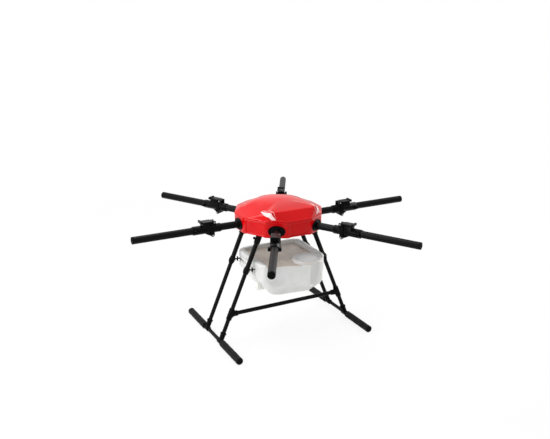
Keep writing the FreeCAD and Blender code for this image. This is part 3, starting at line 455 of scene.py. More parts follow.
def hoodRise(x, y):
    # height over the arm axis: the lowest of a curved slope for each side, and for the
    # front side a gentle roof that ends in a straight brow above a steep band
    slopes = []
    for k in range(12):
        turn = math.radians(30 * k)
        out = np.maximum(x * math.cos(turn) + y * math.sin(turn), 0)
        if k == 0:
            roof = hoodShape["crown"] - (hoodShape["crown"] - hoodShape["noseTop"]) \
                * (out / hoodShape["noseEdge"]) ** 2
            band = hoodShape["noseTop"] + hoodShape["noseDrop"] * (out - hoodShape["noseEdge"])
            slopes.append(softMin([roof, band], hoodShape["browSoftness"]))
        elif k in (1, 11):
            slopes.append(hoodShape["rimTop"] + hoodShape["noseSide"] * (out - body["cornerApothem"]))
        elif k in (2, 10):
            # these two sides have a steep skirt and climb towards the nose, above the lenses
            slope = curveThrough(hoodShape["skirtAt"], hoodShape["skirtRise"], out)
            along = abs(math.sin(turn)) * x + math.cos(turn) * -np.sign(math.sin(turn)) * y
            slopes.append(slope + hoodShape["shoulderLift"] * smoothStep(along, *hoodShape["liftAlong"])
                          * np.clip((body["faceApothem"] - out) / hoodShape["liftOver"], 0, 1))
        elif k % 2 == 0:
            slopes.append(curveThrough(hoodShape["faceAt"], hoodShape["faceRise"], out))
        else:
            slopes.append(curveThrough(hoodShape["cornerAt"], hoodShape["cornerRise"], out))
    near = softMin(slopes, hoodShape["creaseSoftness"])
    far = 1 - np.exp(-(x * x + y * y) / hoodShape["crownReach"] ** 2)      # the slopes fade into one crown
    return near * far + hoodShape["crown"] * (1 - far)


def planAngles():
    # directions bunched where the panels step and where the sides meet
    half = np.array([0, 3, 6, 9, 11.5, 12.6, 12.85, 13.1, 13.4, 13.7, 13.95, 14.2, 15, 16.2, 16.9,
                     17.6, 19, 21.5, 24, 27, 30])
    sector = np.r_[half, 60 - half[-2:0:-1]]
    return np.radians(np.concatenate([sector + 60 * k for k in range(6)]))


def makeHood():
    # rings about the crown: shares of the way to the brow, then of the way from it to the rim,
    # which rolls over to the vertical and runs down to the foot; hoodRise gives their height
    angle = planAngles()
    edge = planRadius(angle)
    # one ring follows the brow, so that its crease is drawn sharp
    brow = hoodShape["noseEdge"] / body["faceApothem"] * planRadius(angle, softness=hoodShape["browRound"])
    noseReach = hoodShape["noseEdge"] / np.maximum(np.cos(angle), 0.5)
    fromNose = np.abs((angle + math.pi) % (2 * math.pi) - math.pi)
    brow = np.where(fromNose < math.radians(hoodShape["browSpan"]), noseReach, brow)
    rimRound = hoodShape["rimRound"]
    inner = np.r_[np.linspace(0, 0.97, 30), 0.985]
    band = np.r_[0, 0.02, np.linspace(0.06, 1, 16)]
    rings = [share * brow for share in inner]
    rings += [brow + share * (edge - rimRound - brow) for share in band]
    rho = np.array(rings)
    x, y = rho * np.cos(angle), rho * np.sin(angle)
    z = hoodRise(x, y)
    turns = np.radians([25, 45, 65, 90])[:, None]       # rim rolls over to the vertical
    rimRho = edge - rimRound + rimRound * np.sin(turns)
    rimTop = z[-1]
    rimZ = rimTop - rimRound * (1 - np.cos(turns))
    down = np.array(body["hoodFoot"])[:, None]
    rho = np.vstack([rho, rimRho, np.broadcast_to(edge, (1, len(angle))), edge[None] - body["hoodInset"]])
    x, y = rho * np.cos(angle), rho * np.sin(angle)
    z = np.vstack([z, rimZ, np.broadcast_to(down, (2, len(angle)))])
    grid = np.stack([x, y, z + armHeight], -1)
    shell = gridShell(grid, uv=(rho.mean(1), np.arange(len(angle) + 1) * 5.0), poles=("start",))
    return makePiece("hood_skin", [shell], red, "airframe", ["hood"], wall=body["wall"])


def makeShell():
    # wall radius is the outline, less a shallow panel on each face; its foot rises between
    # the corners, turns in under the body and ends in a flange
    angle = planAngles()
    t = np.tan((angle + math.pi / 6) % (math.pi / 3) - math.pi / 6) * body["faceApothem"]
    ease = body["panelEase"]
    panel = 1 - smoothStep(np.abs(t), body["panelHalf"] - ease, body["panelHalf"] + ease)
    edge = planRadius(angle)
    foot = body["shellBottom"] + body["scallop"] * panel
    z = np.array(body["levels"])
    inPanel = smoothStep(z, body["panelLow"], body["panelLow"] + ease) \
        * (1 - smoothStep(z, body["panelHigh"] - ease, body["panelHigh"]))
    # lip under the hood's rim
    bead = body["bead"] * np.clip(1 - ((z - body["beadAt"]) / body["beadHalf"]) ** 2, 0, 1)
    rho = edge + bead[:, None] - body["panelStep"] * inPanel[:, None] * panel
    rows = np.broadcast_to(z[:, None], rho.shape)
    turns = np.radians([0, 30, 60, 90])[:, None]
    curl, (lapIn, lapDown), (turnedIn, flangeIn) = body["curl"], body["lap"], body["flange"]
    rho = np.vstack([rho[:1] - lapIn, rho, edge - curl * (1 - np.cos(turns)),
                     edge[None] - turnedIn, planRadius(angle, flangeIn)[None]])
    rows = np.vstack([rows[:1] - lapDown, rows, foot + curl * (1 - np.sin(turns)),
                      np.broadcast_to(foot, (2, len(angle)))])
    grid = np.stack([rho * np.cos(angle), rho * np.sin(angle), rows + armHeight], -1)
    shell = gridShell(grid, uv=(np.arange(len(rho)) * 5.0, np.arange(len(angle) + 1) * 5.0))
    return makePiece("side_shell_skin", [shell], red, "airframe", ["side_shell"],
                     wall=body["wall"])


lensShape = {"tip": (101, 157), "outer": (165, 154), "crease": (104, 131), "brow": (156, 128),
             "point": (198, 118), "rise": 3.0, "sit": 0.7, "span": 7.0, "ridge": 0.42, "rim": 0.88,
             "pull": 1.35, "fullness": 0.8, "wall": 2.0}


def aboveHood(plan, lift):
    # points this far off the hood along its normal, taken over a span so that creases are eased
    x, y = plan[..., 0], plan[..., 1]
    span = lensShape["span"]
    slopeX = (hoodRise(x + span, y) - hoodRise(x - span, y)) / (2 * span)
    slopeY = (hoodRise(x, y + span) - hoodRise(x, y - span)) / (2 * span)
    normal = np.stack([-slopeX, -slopeY, np.ones_like(x)], -1)
    normal /= np.linalg.norm(normal, axis=-1, keepdims=True)
    return np.stack([x, y, hoodRise(x, y)], -1) + normal * lift[..., None]


def makeLenses():
    # leaf between two curved edges in plan, in three strips; it follows the hood and swells
    # to a ridge by sqrt(sin) along and a power of the distance from the edges across
    u = (1 - np.cos(np.linspace(0, math.pi, 45))) / 2
    tip, outer, crease, brow, point = (np.array(lensShape[k], float)
                                       for k in ("tip", "outer", "crease", "brow", "point"))
    w = u[:, None]
    low = (1 - w) ** 2 * tip + 2 * w * (1 - w) * (2 * outer - (tip + point) / 2) + w ** 2 * point
    # the middle handles lie outside the points that the upper edge passes near
    pull = lensShape["pull"]
    a, b = (at * pull - (tip + point) * (pull - 1) / 2 for at in (crease, brow))
    high = (1 - w) ** 3 * tip + 3 * w * (1 - w) ** 2 * a + 3 * w ** 2 * (1 - w) * b + w ** 3 * point
    ridge, rim = lensShape["ridge"], lensShape["rim"]
    for side, tag in ((1, "left"), (-1, "right")):
        # the lower strip and the rim take the pale lens colour, a painted highlight; the upper strip is
        # red
        for name, v, material in (("lens_lower_", np.linspace(0, ridge, 13), lensGlintPaint),
                                  ("lens_upper_", np.linspace(ridge, rim, 11), rose),
                                  ("lens_rim_", np.linspace(rim, 1, 5), lensGlintPaint)):
            plan = low[:, None] + v[None, :, None] * (high - low)[:, None]
            swell = np.sqrt(np.clip(np.sin(u * math.pi), 0, 1))[:, None] \
                * np.clip(np.minimum(v / ridge, (1 - v) / (1 - ridge)), 0, 1) ** lensShape["fullness"]
            grid = aboveHood(plan, lensShape["sit"] + lensShape["rise"] * swell)
            grid = grid * [1, side, 1] + [0, 0, armHeight]
            if side > 0:
                grid = grid[:, ::-1]
            shell = gridShell(grid, uv=(u * 120, v * 40), roundV=False)
            makePiece(name + tag, [shell], material, "airframe",
                      wall=lensShape["wall"])


makeHood()
makeShell()
makeLenses()

socket = {"halfWidth": 45.0, "halfHeight": 30.0, "wall": 236.0, "face": 241.0, "lift": 2.0,
          "bore": 19.05, "back": 214.0, "lip": 5.0, "screw": (2.6, 1.8, 1.3), "screwAt": (240.2, 37.5, 2),
          # how far from the oval to the bore, and how deep the face lies there
          "share": (0, 0.03, 0.09, 0.16, 0.3, 0.5, 0.68, 0.8, 0.9, 0.97, 1.0),
          "dish": (-1.5, -0.4, 0, -0.3, -1.8, -2.6, -2.2, -0.8, 0, -0.3, -1.0)}


def makeSocket():
    # closed ring about the tube: each section lies between the outer oval and the round bore
    a = np.arange(72) / 72 * 2 * math.pi
    oval, spigot = (np.stack([(socket["halfWidth"] - less) * np.cos(a),
                              socket["lift"] + (socket["halfHeight"] - less) * np.sin(a)], -1)
                    for less in (0, socket["lip"]))
    hole = socket["bore"] * np.stack([np.cos(a), np.sin(a)], -1)
    front = [(socket["face"] + d, oval * (1 - s) + hole * s)
             for s, d in zip(socket["share"], socket["dish"])]
    rows = front + [(socket["back"], hole), (socket["back"], spigot), (socket["wall"], spigot),
                    (socket["wall"], oval)]
    return np.stack([np.concatenate([np.full((72, 1), x), ring], 1) for x, ring in rows])


def screwHead(radius, tall, hexRadius, steps=24):
    # cap screw standing along +x: chamfered cylinder with a six sided socket
    outside = [(0, 0), (0, radius), (tall - 0.5, radius), (tall, radius - 0.5), (tall, hexRadius)]
    return lathe(outside + [(tall * 0.4, hexRadius * 0.97), (tall * 0.4, 0)], steps)


sockets = [gridShell(onArm(makeSocket(), turn), roundU=True) for turn in armAzimuth.values()]
makePiece("arm_socket_bezels", sockets, nylon, "airframe", ["arm_sockets"])
screwX, screwY, screwZ = socket["screwAt"]
heads = [gridShell(onArm(placed(screwHead(*socket["screw"]), (screwX, side * screwY, screwZ)), turn),
                   poles=("start", "end")) for turn in armAzimuth.values() for side in (1, -1)]
makePiece("bezel_screws", heads, alloy, "airframe")
heads = [gridShell(onArm(placed(screwHead(*body["screw"]), body["screwAt"]), turn), poles=("start", "end"))
         for turn in range(0, 360, 60)]
makePiece("hood_screw_heads", heads, red, "airframe", ["hood_screws"])
print("hood, shell and sockets made")


# arms

arm = {"radius": 19.0, "bore": 17.0, "rootStart": 100.0, "rootEnd": 386.0, "outerStart": 406.0,
       "outerEnd": 812.0,
       # end cap, as (distance from the body's middle, radius)
       "cap": ((792, 0), (792, 16.0), (793, 16.9), (812.1, 16.9), (812.1, 18.6), (812.6, 19.0),
               (818.3, 19.0), (819.4, 18.5), (819.9, 17.4), (820, 15.8), (819.2, 15.0), (817.6, 14.6),
               (817.4, 5.0), (818.4, 4.4), (818.6, 0))}
# distance out, height, radius, head's radius and length, and half the length between heads
pinLine = {"hinge": (396.0, -31.0, 3.0, 5.5, 5.0, 26.0), "latch": (385.0, 36.0, 2.0, 4.0, 3.0, 19.4)}


def tubeRing(start, end, radius, bore, bevelled=0.4):
    # closed loop of (distance, radius): outside, rounded rims and bore
    return [(start + bevelled, radius), (end - bevelled, radius), (end, radius - bevelled),
            (end, bore), (start, bore), (start, radius - bevelled)]


def wovenTube(profile, place):
    # uv runs in mm along and around, so that the weave keeps its size
    grid = lathe(profile, 48)
    radius = max(r for s, r in profile)
    along = np.array([s for s, r in profile], float)
    around = np.arange(49) / 48 * 2 * math.pi * radius
    return gridShell(place(grid), uv=(along, around), roundU=True)


def sideRod(x, z, radius, headRadius, headLength, half):
    # headed pin across the arm, from one head's recess to the other
    end, deep = half + headLength, half + headLength * 0.5
    head = [(half, radius), (half, headRadius), (end - 0.5, headRadius), (end, headRadius - 0.5),
            (end, headRadius * 0.52), (deep, headRadius * 0.5), (deep, 0)]
    return placed(lathe([(-s, r) for s, r in head[::-1]] + head, 24), (x, 0, z), (0, 1, 0))


for name, turn in armAzimuth.items():
    place = lambda grid, turn=turn: onArm(grid, turn)
    makePiece(f"arm_outer_tube_{name}", [wovenTube(tubeRing(arm["outerStart"], arm["outerEnd"],
              arm["radius"], arm["bore"]), place)], tubeCarbon, f"arm_{name}",
              [f"arm_tube_{name}"])
    makePiece(f"arm_end_cap_{name}", [gridShell(place(lathe(arm["cap"], 48)), poles=("start", "end"))],
              nylon, f"arm_{name}", [f"arm_end_plug_{name}"])
    softened(f"fold_joint_inner_{name}", alloy, "airframe", 1.2)
    softened(f"fold_joint_outer_{name}", alloy, f"arm_{name}", 1.2)
    softened(f"fold_latch_{name}", alloy, f"latch_{name}", 1.0)

makePiece("arm_root_tube_weave",
          [wovenTube(tubeRing(arm["rootStart"], arm["rootEnd"], arm["radius"], arm["bore"]),
                     lambda grid, turn=turn: onArm(grid, turn)) for turn in armAzimuth.values()],
          tubeCarbon, "airframe", ["arm_root_tubes"])
pins = [gridShell(onArm(sideRod(*pinLine[kind]), turn), poles=("start", "end"))
        for turn in armAzimuth.values() for kind in pinLine]
makePiece("fold_joint_screws", pins, steel, "airframe", ["fold_joint_pins"])
print("arms made")


# landing gear

leg = {"x": 92.0, "footY": 395.0, "footZ": 19.0, "topY": 158.6, "topZ": 590.0, "couplerZ": 397.0,
       "lower": (11.0, 9.8), "upper": (12.5, 11.05), "seat": 12.0, "overlap": 30.0, "upperSeat": 8.5,
       "brace": (11.0, 9.5), "braceZ": 165.0, "boltY": 16.6, "boltAt": 3.0, "bolt": (3.4, 3.0, 1.7, 20),
       "knobY": 181.0, "knobZ": 573.0,
       "knob": ((0, 0), (0, 3), (7, 3), (7.6, 6.4), (8.6, 7), (14, 7), (15, 6.2), (15, 0))}
skid = {"y": 395.0, "z": 19.0, "half": 343.0, "cap": 5.0, "radius": 10.0, "bore": 8.5,
        "foamStart": 116.0, "foamRadius": 19.0, "foamBore": 10.05, "foamRound": 3.5,
        "waist": 0.25, "waistPitch": 0.11,
        "plug": ((323.0, 0), (323.0, 8.2), (323.4, 8.45), (338.1, 8.45), (338.1, 10), (341.6, 10),
                 (342.6, 9.5), (343, 8.2), (342.4, 7.4), (342.2, 0))}
legLean = math.atan2(leg["footY"] - leg["topY"], leg["topZ"] - leg["footZ"])


def legPlace(fore, side):
    # local x runs up the leg from the skid's axis
    origin = (fore * leg["x"], side * leg["footY"], leg["footZ"])
    ahead = (0, -side * math.sin(legLean), math.cos(legLean))
    return lambda grid: placed(grid, origin, ahead, (1, 0, 0))


def upLeg(height):
    # distance up the leg at which it reaches this height
    return (height - leg["footZ"]) / math.cos(legLean)


couplerAt = upLeg(leg["couplerZ"])
uppers = []
for name, sign in legSign.items():
    place = legPlace(*sign)
    makePiece(f"lower_leg_weave_{name}", [wovenTube(tubeRing(leg["seat"], couplerAt + leg["overlap"],
              *leg["lower"]), place)], tubeCarbon, "airframe", [f"lower_leg_tube_{name}"])
    uppers.append(wovenTube(tubeRing(couplerAt - leg["upperSeat"], upLeg(leg["topZ"]),
                                     *leg["upper"]), place))
makePiece("upper_leg_weave", uppers, tubeCarbon, "airframe", ["upper_leg_tubes"])

for side, name in ((1, "left"), (-1, "right")):
    place = lambda grid, side=side: placed(grid, (0, side * skid["y"], skid["z"]))
    tubeEnd = skid["half"] - skid["cap"]
    makePiece(f"skid_weave_{name}", [wovenTube(tubeRing(-tubeEnd, tubeEnd, skid["radius"],
              skid["bore"], 0.2), place)], tubeCarbon, "airframe", [f"skid_tube_{name}"])


def foamHose(fore, side):
    # soft sleeve: rounded ends that grip the tube, faint waist rings where it was pushed on
    start, end, rounding = skid["foamStart"], skid["half"] - skid["cap"], skid["foamRound"]
    length = end - start
    near = np.array([0, 0.6, 1.8, rounding])
    s = np.r_[near, np.linspace(8, length - 8, 40), length - near[::-1]]
    fromEnd = np.minimum(s, length - s)
    r = skid["foamRadius"] \
        - rounding * (1 - np.sqrt(np.clip(1 - (1 - np.clip(fromEnd / rounding, 0, 1)) ** 2, 0, 1)))
    r -= skid["waist"] * (1 + np.sin(s * skid["waistPitch"])) * np.clip(fromEnd / 10, 0, 1)
    profile = list(zip(start + s, r)) + [(end, skid["foamBore"]), (start, skid["foamBore"])]
    grid = placed(lathe(profile, 40), (0, side * skid["y"], skid["z"]), (fore, 0, 0))
    return gridShell(grid, roundU=True)


makePiece("foam_hoses", [foamHose(*sign) for sign in legSign.values()], foam, "airframe",
          ["foam_sleeves"])
makePiece("skid_caps", [gridShell(placed(lathe(skid["plug"], 32), (0, side * skid["y"], skid["z"]),
                                         (fore, 0, 0)), poles=("start", "end"))
                        for fore, side in legSign.values()], nylon, "airframe",
          ["skid_end_plugs"])
softened("leg_root_sockets", alloy, "airframe", 1.0)
softened("leg_couplers", nylon, "airframe", 0.8)
softened("skid_tees", nylon, "airframe", 1.2)
softened("brace_joints", nylon, "airframe", 1.2)
braceLow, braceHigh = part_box("cross_brace_tube")
makePiece("brace_weave", [wovenTube(tubeRing(braceLow.y / mm, braceHigh.y / mm, *leg["brace"]),
          lambda grid: placed(grid, (leg["x"], 0, leg["braceZ"]), (0, 1, 0)))], tubeCarbon, "airframe",
          ["cross_brace_tube"])
bolts = []
for sign in legSign.values():
    place = legPlace(*sign)
    for face in (1, -1):
        head = placed(screwHead(*leg["bolt"]), (couplerAt, -leg["boltY"], face * leg["boltAt"]),
                      (0, 0, face), (1, 0, 0))
        bolts.append(gridShell(place(head), poles=("start", "end")))
makePiece("coupler_bolts", bolts, steel, "airframe")
knobs = []
for fore, side in legSign.values():
    at = (fore * leg["x"], side * leg["knobY"], leg["knobZ"])
    knobs.append(gridShell(placed(lathe(leg["knob"], 24), at, (0, side, 0)), poles=("start", "end")))
makePiece("leg_root_knobs", knobs, nylon, "airframe")
print("landing gear made")


# tank

tank = {"back": -128.0, "front": 195.0, "half": 191.0, "bottom": 259.0, "shoulder": 319.0,
        "flare": 360.0,
        "footBack": -112.0, "footFront": 160.0, "footHalf": 117.0, "squareness": 9.0,
        "rim": 444.0, "deck": 427.0, "margin": 24.0, "round": 7.0, "wall": 3.5,
        "lobe": (172.0, 86.0), "lobeRadius": 80.0, "lobeTop": 435.0, "lobeFoot": 10.0,
        "flankAngle": 70.0, "corner": 44.0, "blend": 5.0, "grooveLow": 384.8, "grooveHigh": 404.8,
        "grooveDepth": 13.0, "grooveEnd": 99.8, "grooveEdge": 0.6,
        "ribPitch": 44.0, "ribWidth": 9.0, "ribRise": 6.0, "ribSunk": 0.8, "ribGap": 22.0,
        # heights of the rings: up the side below and above the groove, and across to the mouth
        "sideLow": (272, 290, 306, 316, 322, 335, 348, 357, 363, 372, 382), "sideHigh": 411.0,
        "mouthSteps": (4.5, 3, 1.5, 0, -2, -8, -16, -22, -24.2, -25), "neck": 11.0,
        "widest": 430.0, "underRim": 413.0, "borderRun": 34.0, "lobeRun": 8.0,
        "around": 320, "halvings": 22, "farthest": 460.0}


def tankReach(angle, z):
    # distance from the filler's axis to the wall, found by halving: the wall is where the
    # rounded box, the round bulge and the flat flank that joins them have all ended
    cx, cy = tank["lobe"]
    up = np.clip((z - tank["bottom"]) / (tank["shoulder"] - tank["bottom"]), 0, 1)
    back = tank["footBack"] + (tank["back"] - tank["footBack"]) * up
    front = tank["footFront"] + (tank["front"] - tank["footFront"]) * up
    half = tank["footHalf"] + (tank["half"] - tank["footHalf"]) \
        * np.clip((z - tank["bottom"]) / (tank["flare"] - tank["bottom"]), 0, 1)
    bulge = tank["lobeFoot"] + (tank["lobeRadius"] - tank["lobeFoot"]) * up
    midX, halfX, n = (back + front) / 2, (front - back) / 2, tank["squareness"]
    # flat flank: from a fixed place on the front edge to where it touches the bulge
    lean = math.radians(tank["flankAngle"])
    startY = cy - tank["lobeRadius"] * math.cos(lean) \
        - (cx + tank["lobeRadius"] * math.sin(lean) - tank["front"]) * math.tan(lean)
    touchX, touchY = cx + bulge * math.sin(lean), cy - bulge * math.cos(lean)
    runX, runY = touchX - front, touchY - startY
    run = np.hypot(runX, runY)
    low = np.zeros(np.broadcast(angle, z).shape)
    high = low + tank["farthest"]
    for _ in range(tank["halvings"]):
        rho = (low + high) / 2
        x, y = cx + rho * np.cos(angle), cy + rho * np.sin(angle)
        boxy = (np.abs((x - midX) / halfX) ** n + np.abs(y / half) ** n) ** (1 / n)
        fromBox = (boxy - 1) * halfX
        fromBulge = rho - bulge
        fromFlank = np.maximum.reduce([((x - front) * runY - (y - startY) * runX) / run, startY - y,
                                       y - touchY, front - tank["corner"] - x])
        inside = softMin([fromBox, fromBulge, fromFlank], tank["blend"]) < 0
        low, high = np.where(inside, rho, low), np.where(inside, high, rho)
    return (low + high) / 2


def deckHeight(x, y, rho):
    # raised border at the back and both sides, open at the front, flat seat about the filler
    border = np.maximum.reduce([smoothStep(away, reach - tank["margin"] - 4, reach - tank["margin"] + 3)
                                for away, reach in ((np.abs(y), tank["half"]), (-x, -tank["back"]))])
    flat = tank["deck"] + (tank["rim"] - tank["deck"]) * border
    seat = 1 - smoothStep(rho, tank["lobeRadius"] - 3, tank["lobeRadius"] + 5)
    return flat * (1 - seat) + tank["lobeTop"] * seat


def makeTank():
    # one skin from the middle of the foot, out, up the sides, over the rim and in to the mouth
    angle = np.arange(tank["around"]) / tank["around"] * 2 * math.pi
    level = np.ones_like(angle)
    r, bottom, edge = tank["round"], tank["bottom"], tank["grooveEdge"]
    low, high = tank["grooveLow"], tank["grooveHigh"]
    cx, cy = tank["lobe"]
    zs = np.r_[bottom + r, tank["sideLow"], low - edge, low + edge, 390, 400, high - edge, high + edge,
               tank["sideHigh"]]
    side = tankReach(angle[None], zs[:, None])
    footEdge = tankReach(angle, level * (bottom + 0.5))
    rows = [(footEdge * share, level * bottom) for share in (0, 0.15, 0.3, 0.5, 0.7, 0.85, 0.95)]
    rows += [(footEdge - r * 0.45 * (1 - math.sin(t)), level * (bottom + r * (1 - math.cos(t))))
             for t in np.radians([30, 60])]
    rows += [(side[k], level * z) for k, z in enumerate(zs)]
    full = tankReach(angle, level * tank["widest"])
    topX, topY = cx + (full - r) * np.cos(angle), cy + (full - r) * np.sin(angle)
    topZ = deckHeight(topX, topY, full - r)
    rows.append((full, np.maximum(topZ - r - 2, tank["underRim"])))
    for t in np.radians([0, 22.5, 45, 67.5, 90]):
        rows.append((full - r + r * math.cos(t), topZ - r + r * math.sin(t)))
    # across the border, across the deck to the bulge, and in to the mouth
    border = np.maximum(full - tank["borderRun"],
                        np.minimum(full - r - 1, tank["lobeRadius"] + tank["lobeRun"]))
    rows += [((full - r) + (border - (full - r)) * s, None) for s in np.linspace(0, 1, 14)[1:]]
    last = np.minimum(border - 0.5, tank["lobeRadius"] + tank["lobeRun"] - 2)
    rows += [(border + (last - border) * s, None) for s in np.linspace(0, 1, 20)[1:]]
    for rho in tank["mouthSteps"]:
        last = np.minimum(last - 0.05, tank["lobeRadius"] + rho)
        rows.append((last, None))
    grid = []
    for rho, z in rows:
        x, y = cx + rho * np.cos(angle), cy + rho * np.sin(angle)
        z = deckHeight(x, y, rho) if z is None else z
        grid.append(np.stack([x, y, z], -1))
    grid.append(grid[-1] - [0, 0, tank["neck"]])
    grid = np.array(grid)
    x, y, z = grid[..., 0], grid[..., 1], grid[..., 2]
    notch = smoothStep(z, low - edge, low + edge) * (1 - smoothStep(z, high - edge, high + edge)) \
        * (1 - smoothStep(x, tank["grooveEnd"], tank["grooveEnd"] + 3))
    limit = tank["half"] - tank["grooveDepth"] * notch
    grid[..., 1] = np.where(np.abs(y) > limit, np.sign(y) * limit, y)
    uv = (np.arange(len(grid)) * 8.0, np.arange(tank["around"] + 1) * 4.0)
    skin = gridShell(grid, uv=uv, poles=("start",))
    return makePiece("tank_skin", [skin], milky, "tank", ["tank"], wall=tank["wall"])


def makeRibs():
    # soft bars along the deck, sunk in it, rounded over their width and at both ends
    shells = []
    for k in range(-3, 4):
        y = k * tank["ribPitch"]
        start, end = tank["back"] + tank["ribGap"], tank["front"] - tank["ribGap"] - 4
        cx, cy = tank["lobe"]
        if abs(y - cy) < tank["lobeRadius"] + 4:
            end = cx - math.sqrt((tank["lobeRadius"] + 4) ** 2 - (y - cy) ** 2) - 2
        w, h = tank["ribWidth"] / 2 + 1.5, tank["ribRise"]
        stations = [(start, 0.3, 0.3, 2, 0), (start + 1, w * 0.6, h * 0.6, 2.3, 0),
                    (start + 5, w, h, 2.6, 0), (end - 5, w, h, 2.6, 0),
                    (end - 1, w * 0.6, h * 0.6, 2.3, 0), (end, 0.3, 0.3, 2, 0)]
        shells.append(gridShell(placed(ovalLoft(stations, 24), (0, y, tank["deck"] - tank["ribSunk"])),
                                poles=("start", "end")))
    return makePiece("tank_deck_ribs", shells, milky, "tank")


# profile as (height above the seat, radius)
lid = {"seat": 435.4, "dip": 0.012, "dips": 18, "dipTop": 6.5,
       "profile": ((-10, 0), (-10, 53.5), (-9.2, 54.6), (-0.2, 54.6), (0.1, 57), (0.1, 75.5), (1.2, 76.8),
                   (5.2, 76.8), (6.6, 76.0), (7.3, 74.0), (7.4, 68.0), (6.4, 66.8), (6.2, 60), (6.3, 46),
                   (7.2, 44.5), (7.4, 42.0), (7.0, 40.6), (6.6, 38), (7.2, 18), (7.5, 0))}


def makeLid():
    # round screw lid: low crown, one raised ring, and shallow finger dips around its edge
    def dips(s, a):
        onRim = (s > -0.1) * (s < lid["dipTop"])
        return 1 - lid["dip"] * np.clip(np.cos(a * lid["dips"]), 0, 1) ** 2 * onRim
    grid = placed(lathe(lid["profile"], 144, dips), (*tank["lobe"], lid["seat"]), (0, 0, 1), (1, 0, 0))
    return makePiece("filler_lid", [gridShell(grid, poles=("start", "end"))], lidWhite, "lid",
                     ["tank_lid"])


makeTank()
makeRibs()
makeLid()
softened("tank_outlet", milky, "tank", 1.0)
print("tank made")


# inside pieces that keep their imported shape

for nodeName, material in (("lower_centre_plate", plateCarbon), ("upper_centre_plate", plateCarbon),
                           ("arm_root_clamps", alloy), ("plate_standoffs", alloy),
                           ("clamp_screws", steel), ("power_board", board)):
    nodes[nodeName].data.materials.clear()
    nodes[nodeName].data.materials.append(material)


# camera, floor and light

view = {"place": (3.26997, -1.73818, 1.8264), "back": (0.84180594, -0.44211333, 0.30967494),
        "up": (-0.27635043, 0.13981799, 0.95083194), "lens": 46.8}
studio = {"floorGrey": 0.86, "ambient": 0.5, "floorRings": (0, 2000, 10000, 60000), "floorDrop": 0.0002,
          "paleLow": 0.86, "paleFrom": 1.0, "paleTo": 3.2, "target": (0, 0, 0.45)}
# azimuth, elevation, distance and size in m, power
lamps = {"keyLamp": (-88, 24, 3.2, 1.8, 54.0), "sideLamp": (100, 20, 3.2, 1.8, 46.0),
         "topLamp": (-150, 70, 3.2, 2.4, 76.0), "fillLamp": (-20, 12, 3.6, 2.0, 9.0)}


def makeCamera():
    # turned so that its z axis points back, away from the part
    data = bpy.data.cameras.new("Camera")
    data.lens, data.sensor_width, data.sensor_fit = view["lens"], 36.0, "HORIZONTAL"
    camera = bpy.data.objects.new("Camera", data)
    bpy.context.scene.collection.objects.link(camera)
    back, up = np.array(view["back"]), np.array(view["up"])
    right = np.cross(up, back)
    turned = mathutils.Matrix(np.stack([right, up, back], 1).tolist()).to_4x4()
    turned.translation = view["place"]
    camera.matrix_world = turned
    bpy.context.scene.camera = camera


def makeLamp(name, azimuth, elevation, distance, size, power):
    # round area lamp that looks at the middle of the part
    a, e = math.radians(azimuth), math.radians(elevation)
    away = mathutils.Vector((math.cos(a) * math.cos(e), math.sin(a) * math.cos(e), math.sin(e)))
    data = bpy.data.lights.new(name, "AREA")
    data.shape, data.size, data.energy = "DISK", size, power
    lamp = bpy.data.objects.new(name, data)
    bpy.context.scene.collection.objects.link(lamp)
    lamp.location = mathutils.Vector(studio["target"]) + away * distance
    lamp.rotation_euler = away.to_track_quat("Z", "Y").to_euler()


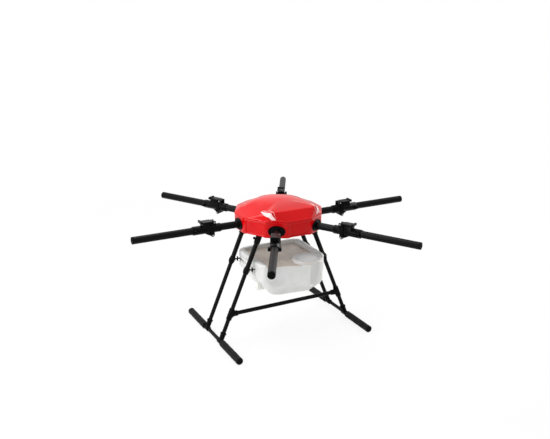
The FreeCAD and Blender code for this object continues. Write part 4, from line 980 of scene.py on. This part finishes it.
def makeStudio():
    # white surroundings that light the part weakly, a paper floor and four round lamps
    world = bpy.data.worlds.new("Studio")
    bpy.context.scene.world = world
    world.use_nodes = True
    tree = world.node_tree
    tree.nodes.clear()
    path = addNode(tree, "LightPath")
    seen = addNode(tree, "Math", {"operation": "MAXIMUM"},
                   {0: path.outputs["Is Camera Ray"], 1: path.outputs["Is Transmission Ray"]}).outputs[0]
    seen = addNode(tree, "Math", {"operation": "MAXIMUM"},
                   {0: seen, 1: path.outputs["Is Glossy Ray"]}).outputs[0]
    level = addNode(tree, "MapRange", None, {0: seen, 3: studio["ambient"], 4: 1.0}).outputs[0]
    light = addNode(tree, "Background", None, {"Color": (1, 1, 1, 1), "Strength": level})
    addNode(tree, "OutputWorld", None, {"Surface": light.outputs[0]})
    # matt paper floor; seen directly it is lifted towards white and keeps a soft shadow
    floorMaterial, tree, shader = startMaterial("paperFloor", "#FFFFFF", 0.9)
    shader.inputs["Specular IOR Level"].default_value = 0.0
    shader.inputs["Base Color"].default_value = (studio["floorGrey"],) * 3 + (1,)
    weather(tree, shader, None, (2, 2, 0.86, 0.94))
    path = addNode(tree, "LightPath")
    white = addNode(tree, "Emission", None, {"Color": (1, 1, 1, 1), "Strength": 1.0})
    place = addNode(tree, "TexCoord").outputs["Object"]
    away = addNode(tree, "VectorMath", {"operation": "LENGTH"}, {0: place}).outputs["Value"]
    pale = addNode(tree, "MapRange", None, {0: away, 1: studio["paleFrom"], 2: studio["paleTo"],
                                            3: studio["paleLow"], 4: 1.0}).outputs[0]
    share = addNode(tree, "Math", {"operation": "MULTIPLY"}, {0: path.outputs["Is Camera Ray"], 1: pale})
    mixed = addNode(tree, "MixShader", None, {0: share.outputs[0], 1: shader.outputs[0],
                                              2: white.outputs[0]})
    tree.links.new(mixed.outputs[0], tree.nodes["Material Output"].inputs["Surface"])
    a = np.arange(64) / 64 * 2 * math.pi
    rings = np.stack([np.stack([r * np.cos(a), r * np.sin(a), 0 * a], -1) for r in studio["floorRings"]])
    mesh = bpy.data.meshes.new("floor")
    points, quads, tris = gridShell(rings[:, ::-1], poles=("start",))[:3]
    mesh.from_pydata((points * mm).tolist(), [], quads.tolist() + tris.tolist())
    mesh.materials.append(floorMaterial)
    floor = bpy.data.objects.new("floor", mesh)
    floor.location.z = -studio["floorDrop"]
    bpy.context.scene.collection.objects.link(floor)
    for name, settings in lamps.items():
        makeLamp(name, *settings)


makeCamera()
makeStudio()
bpy.context.scene.view_settings.view_transform = "Standard"
print("camera and light made")
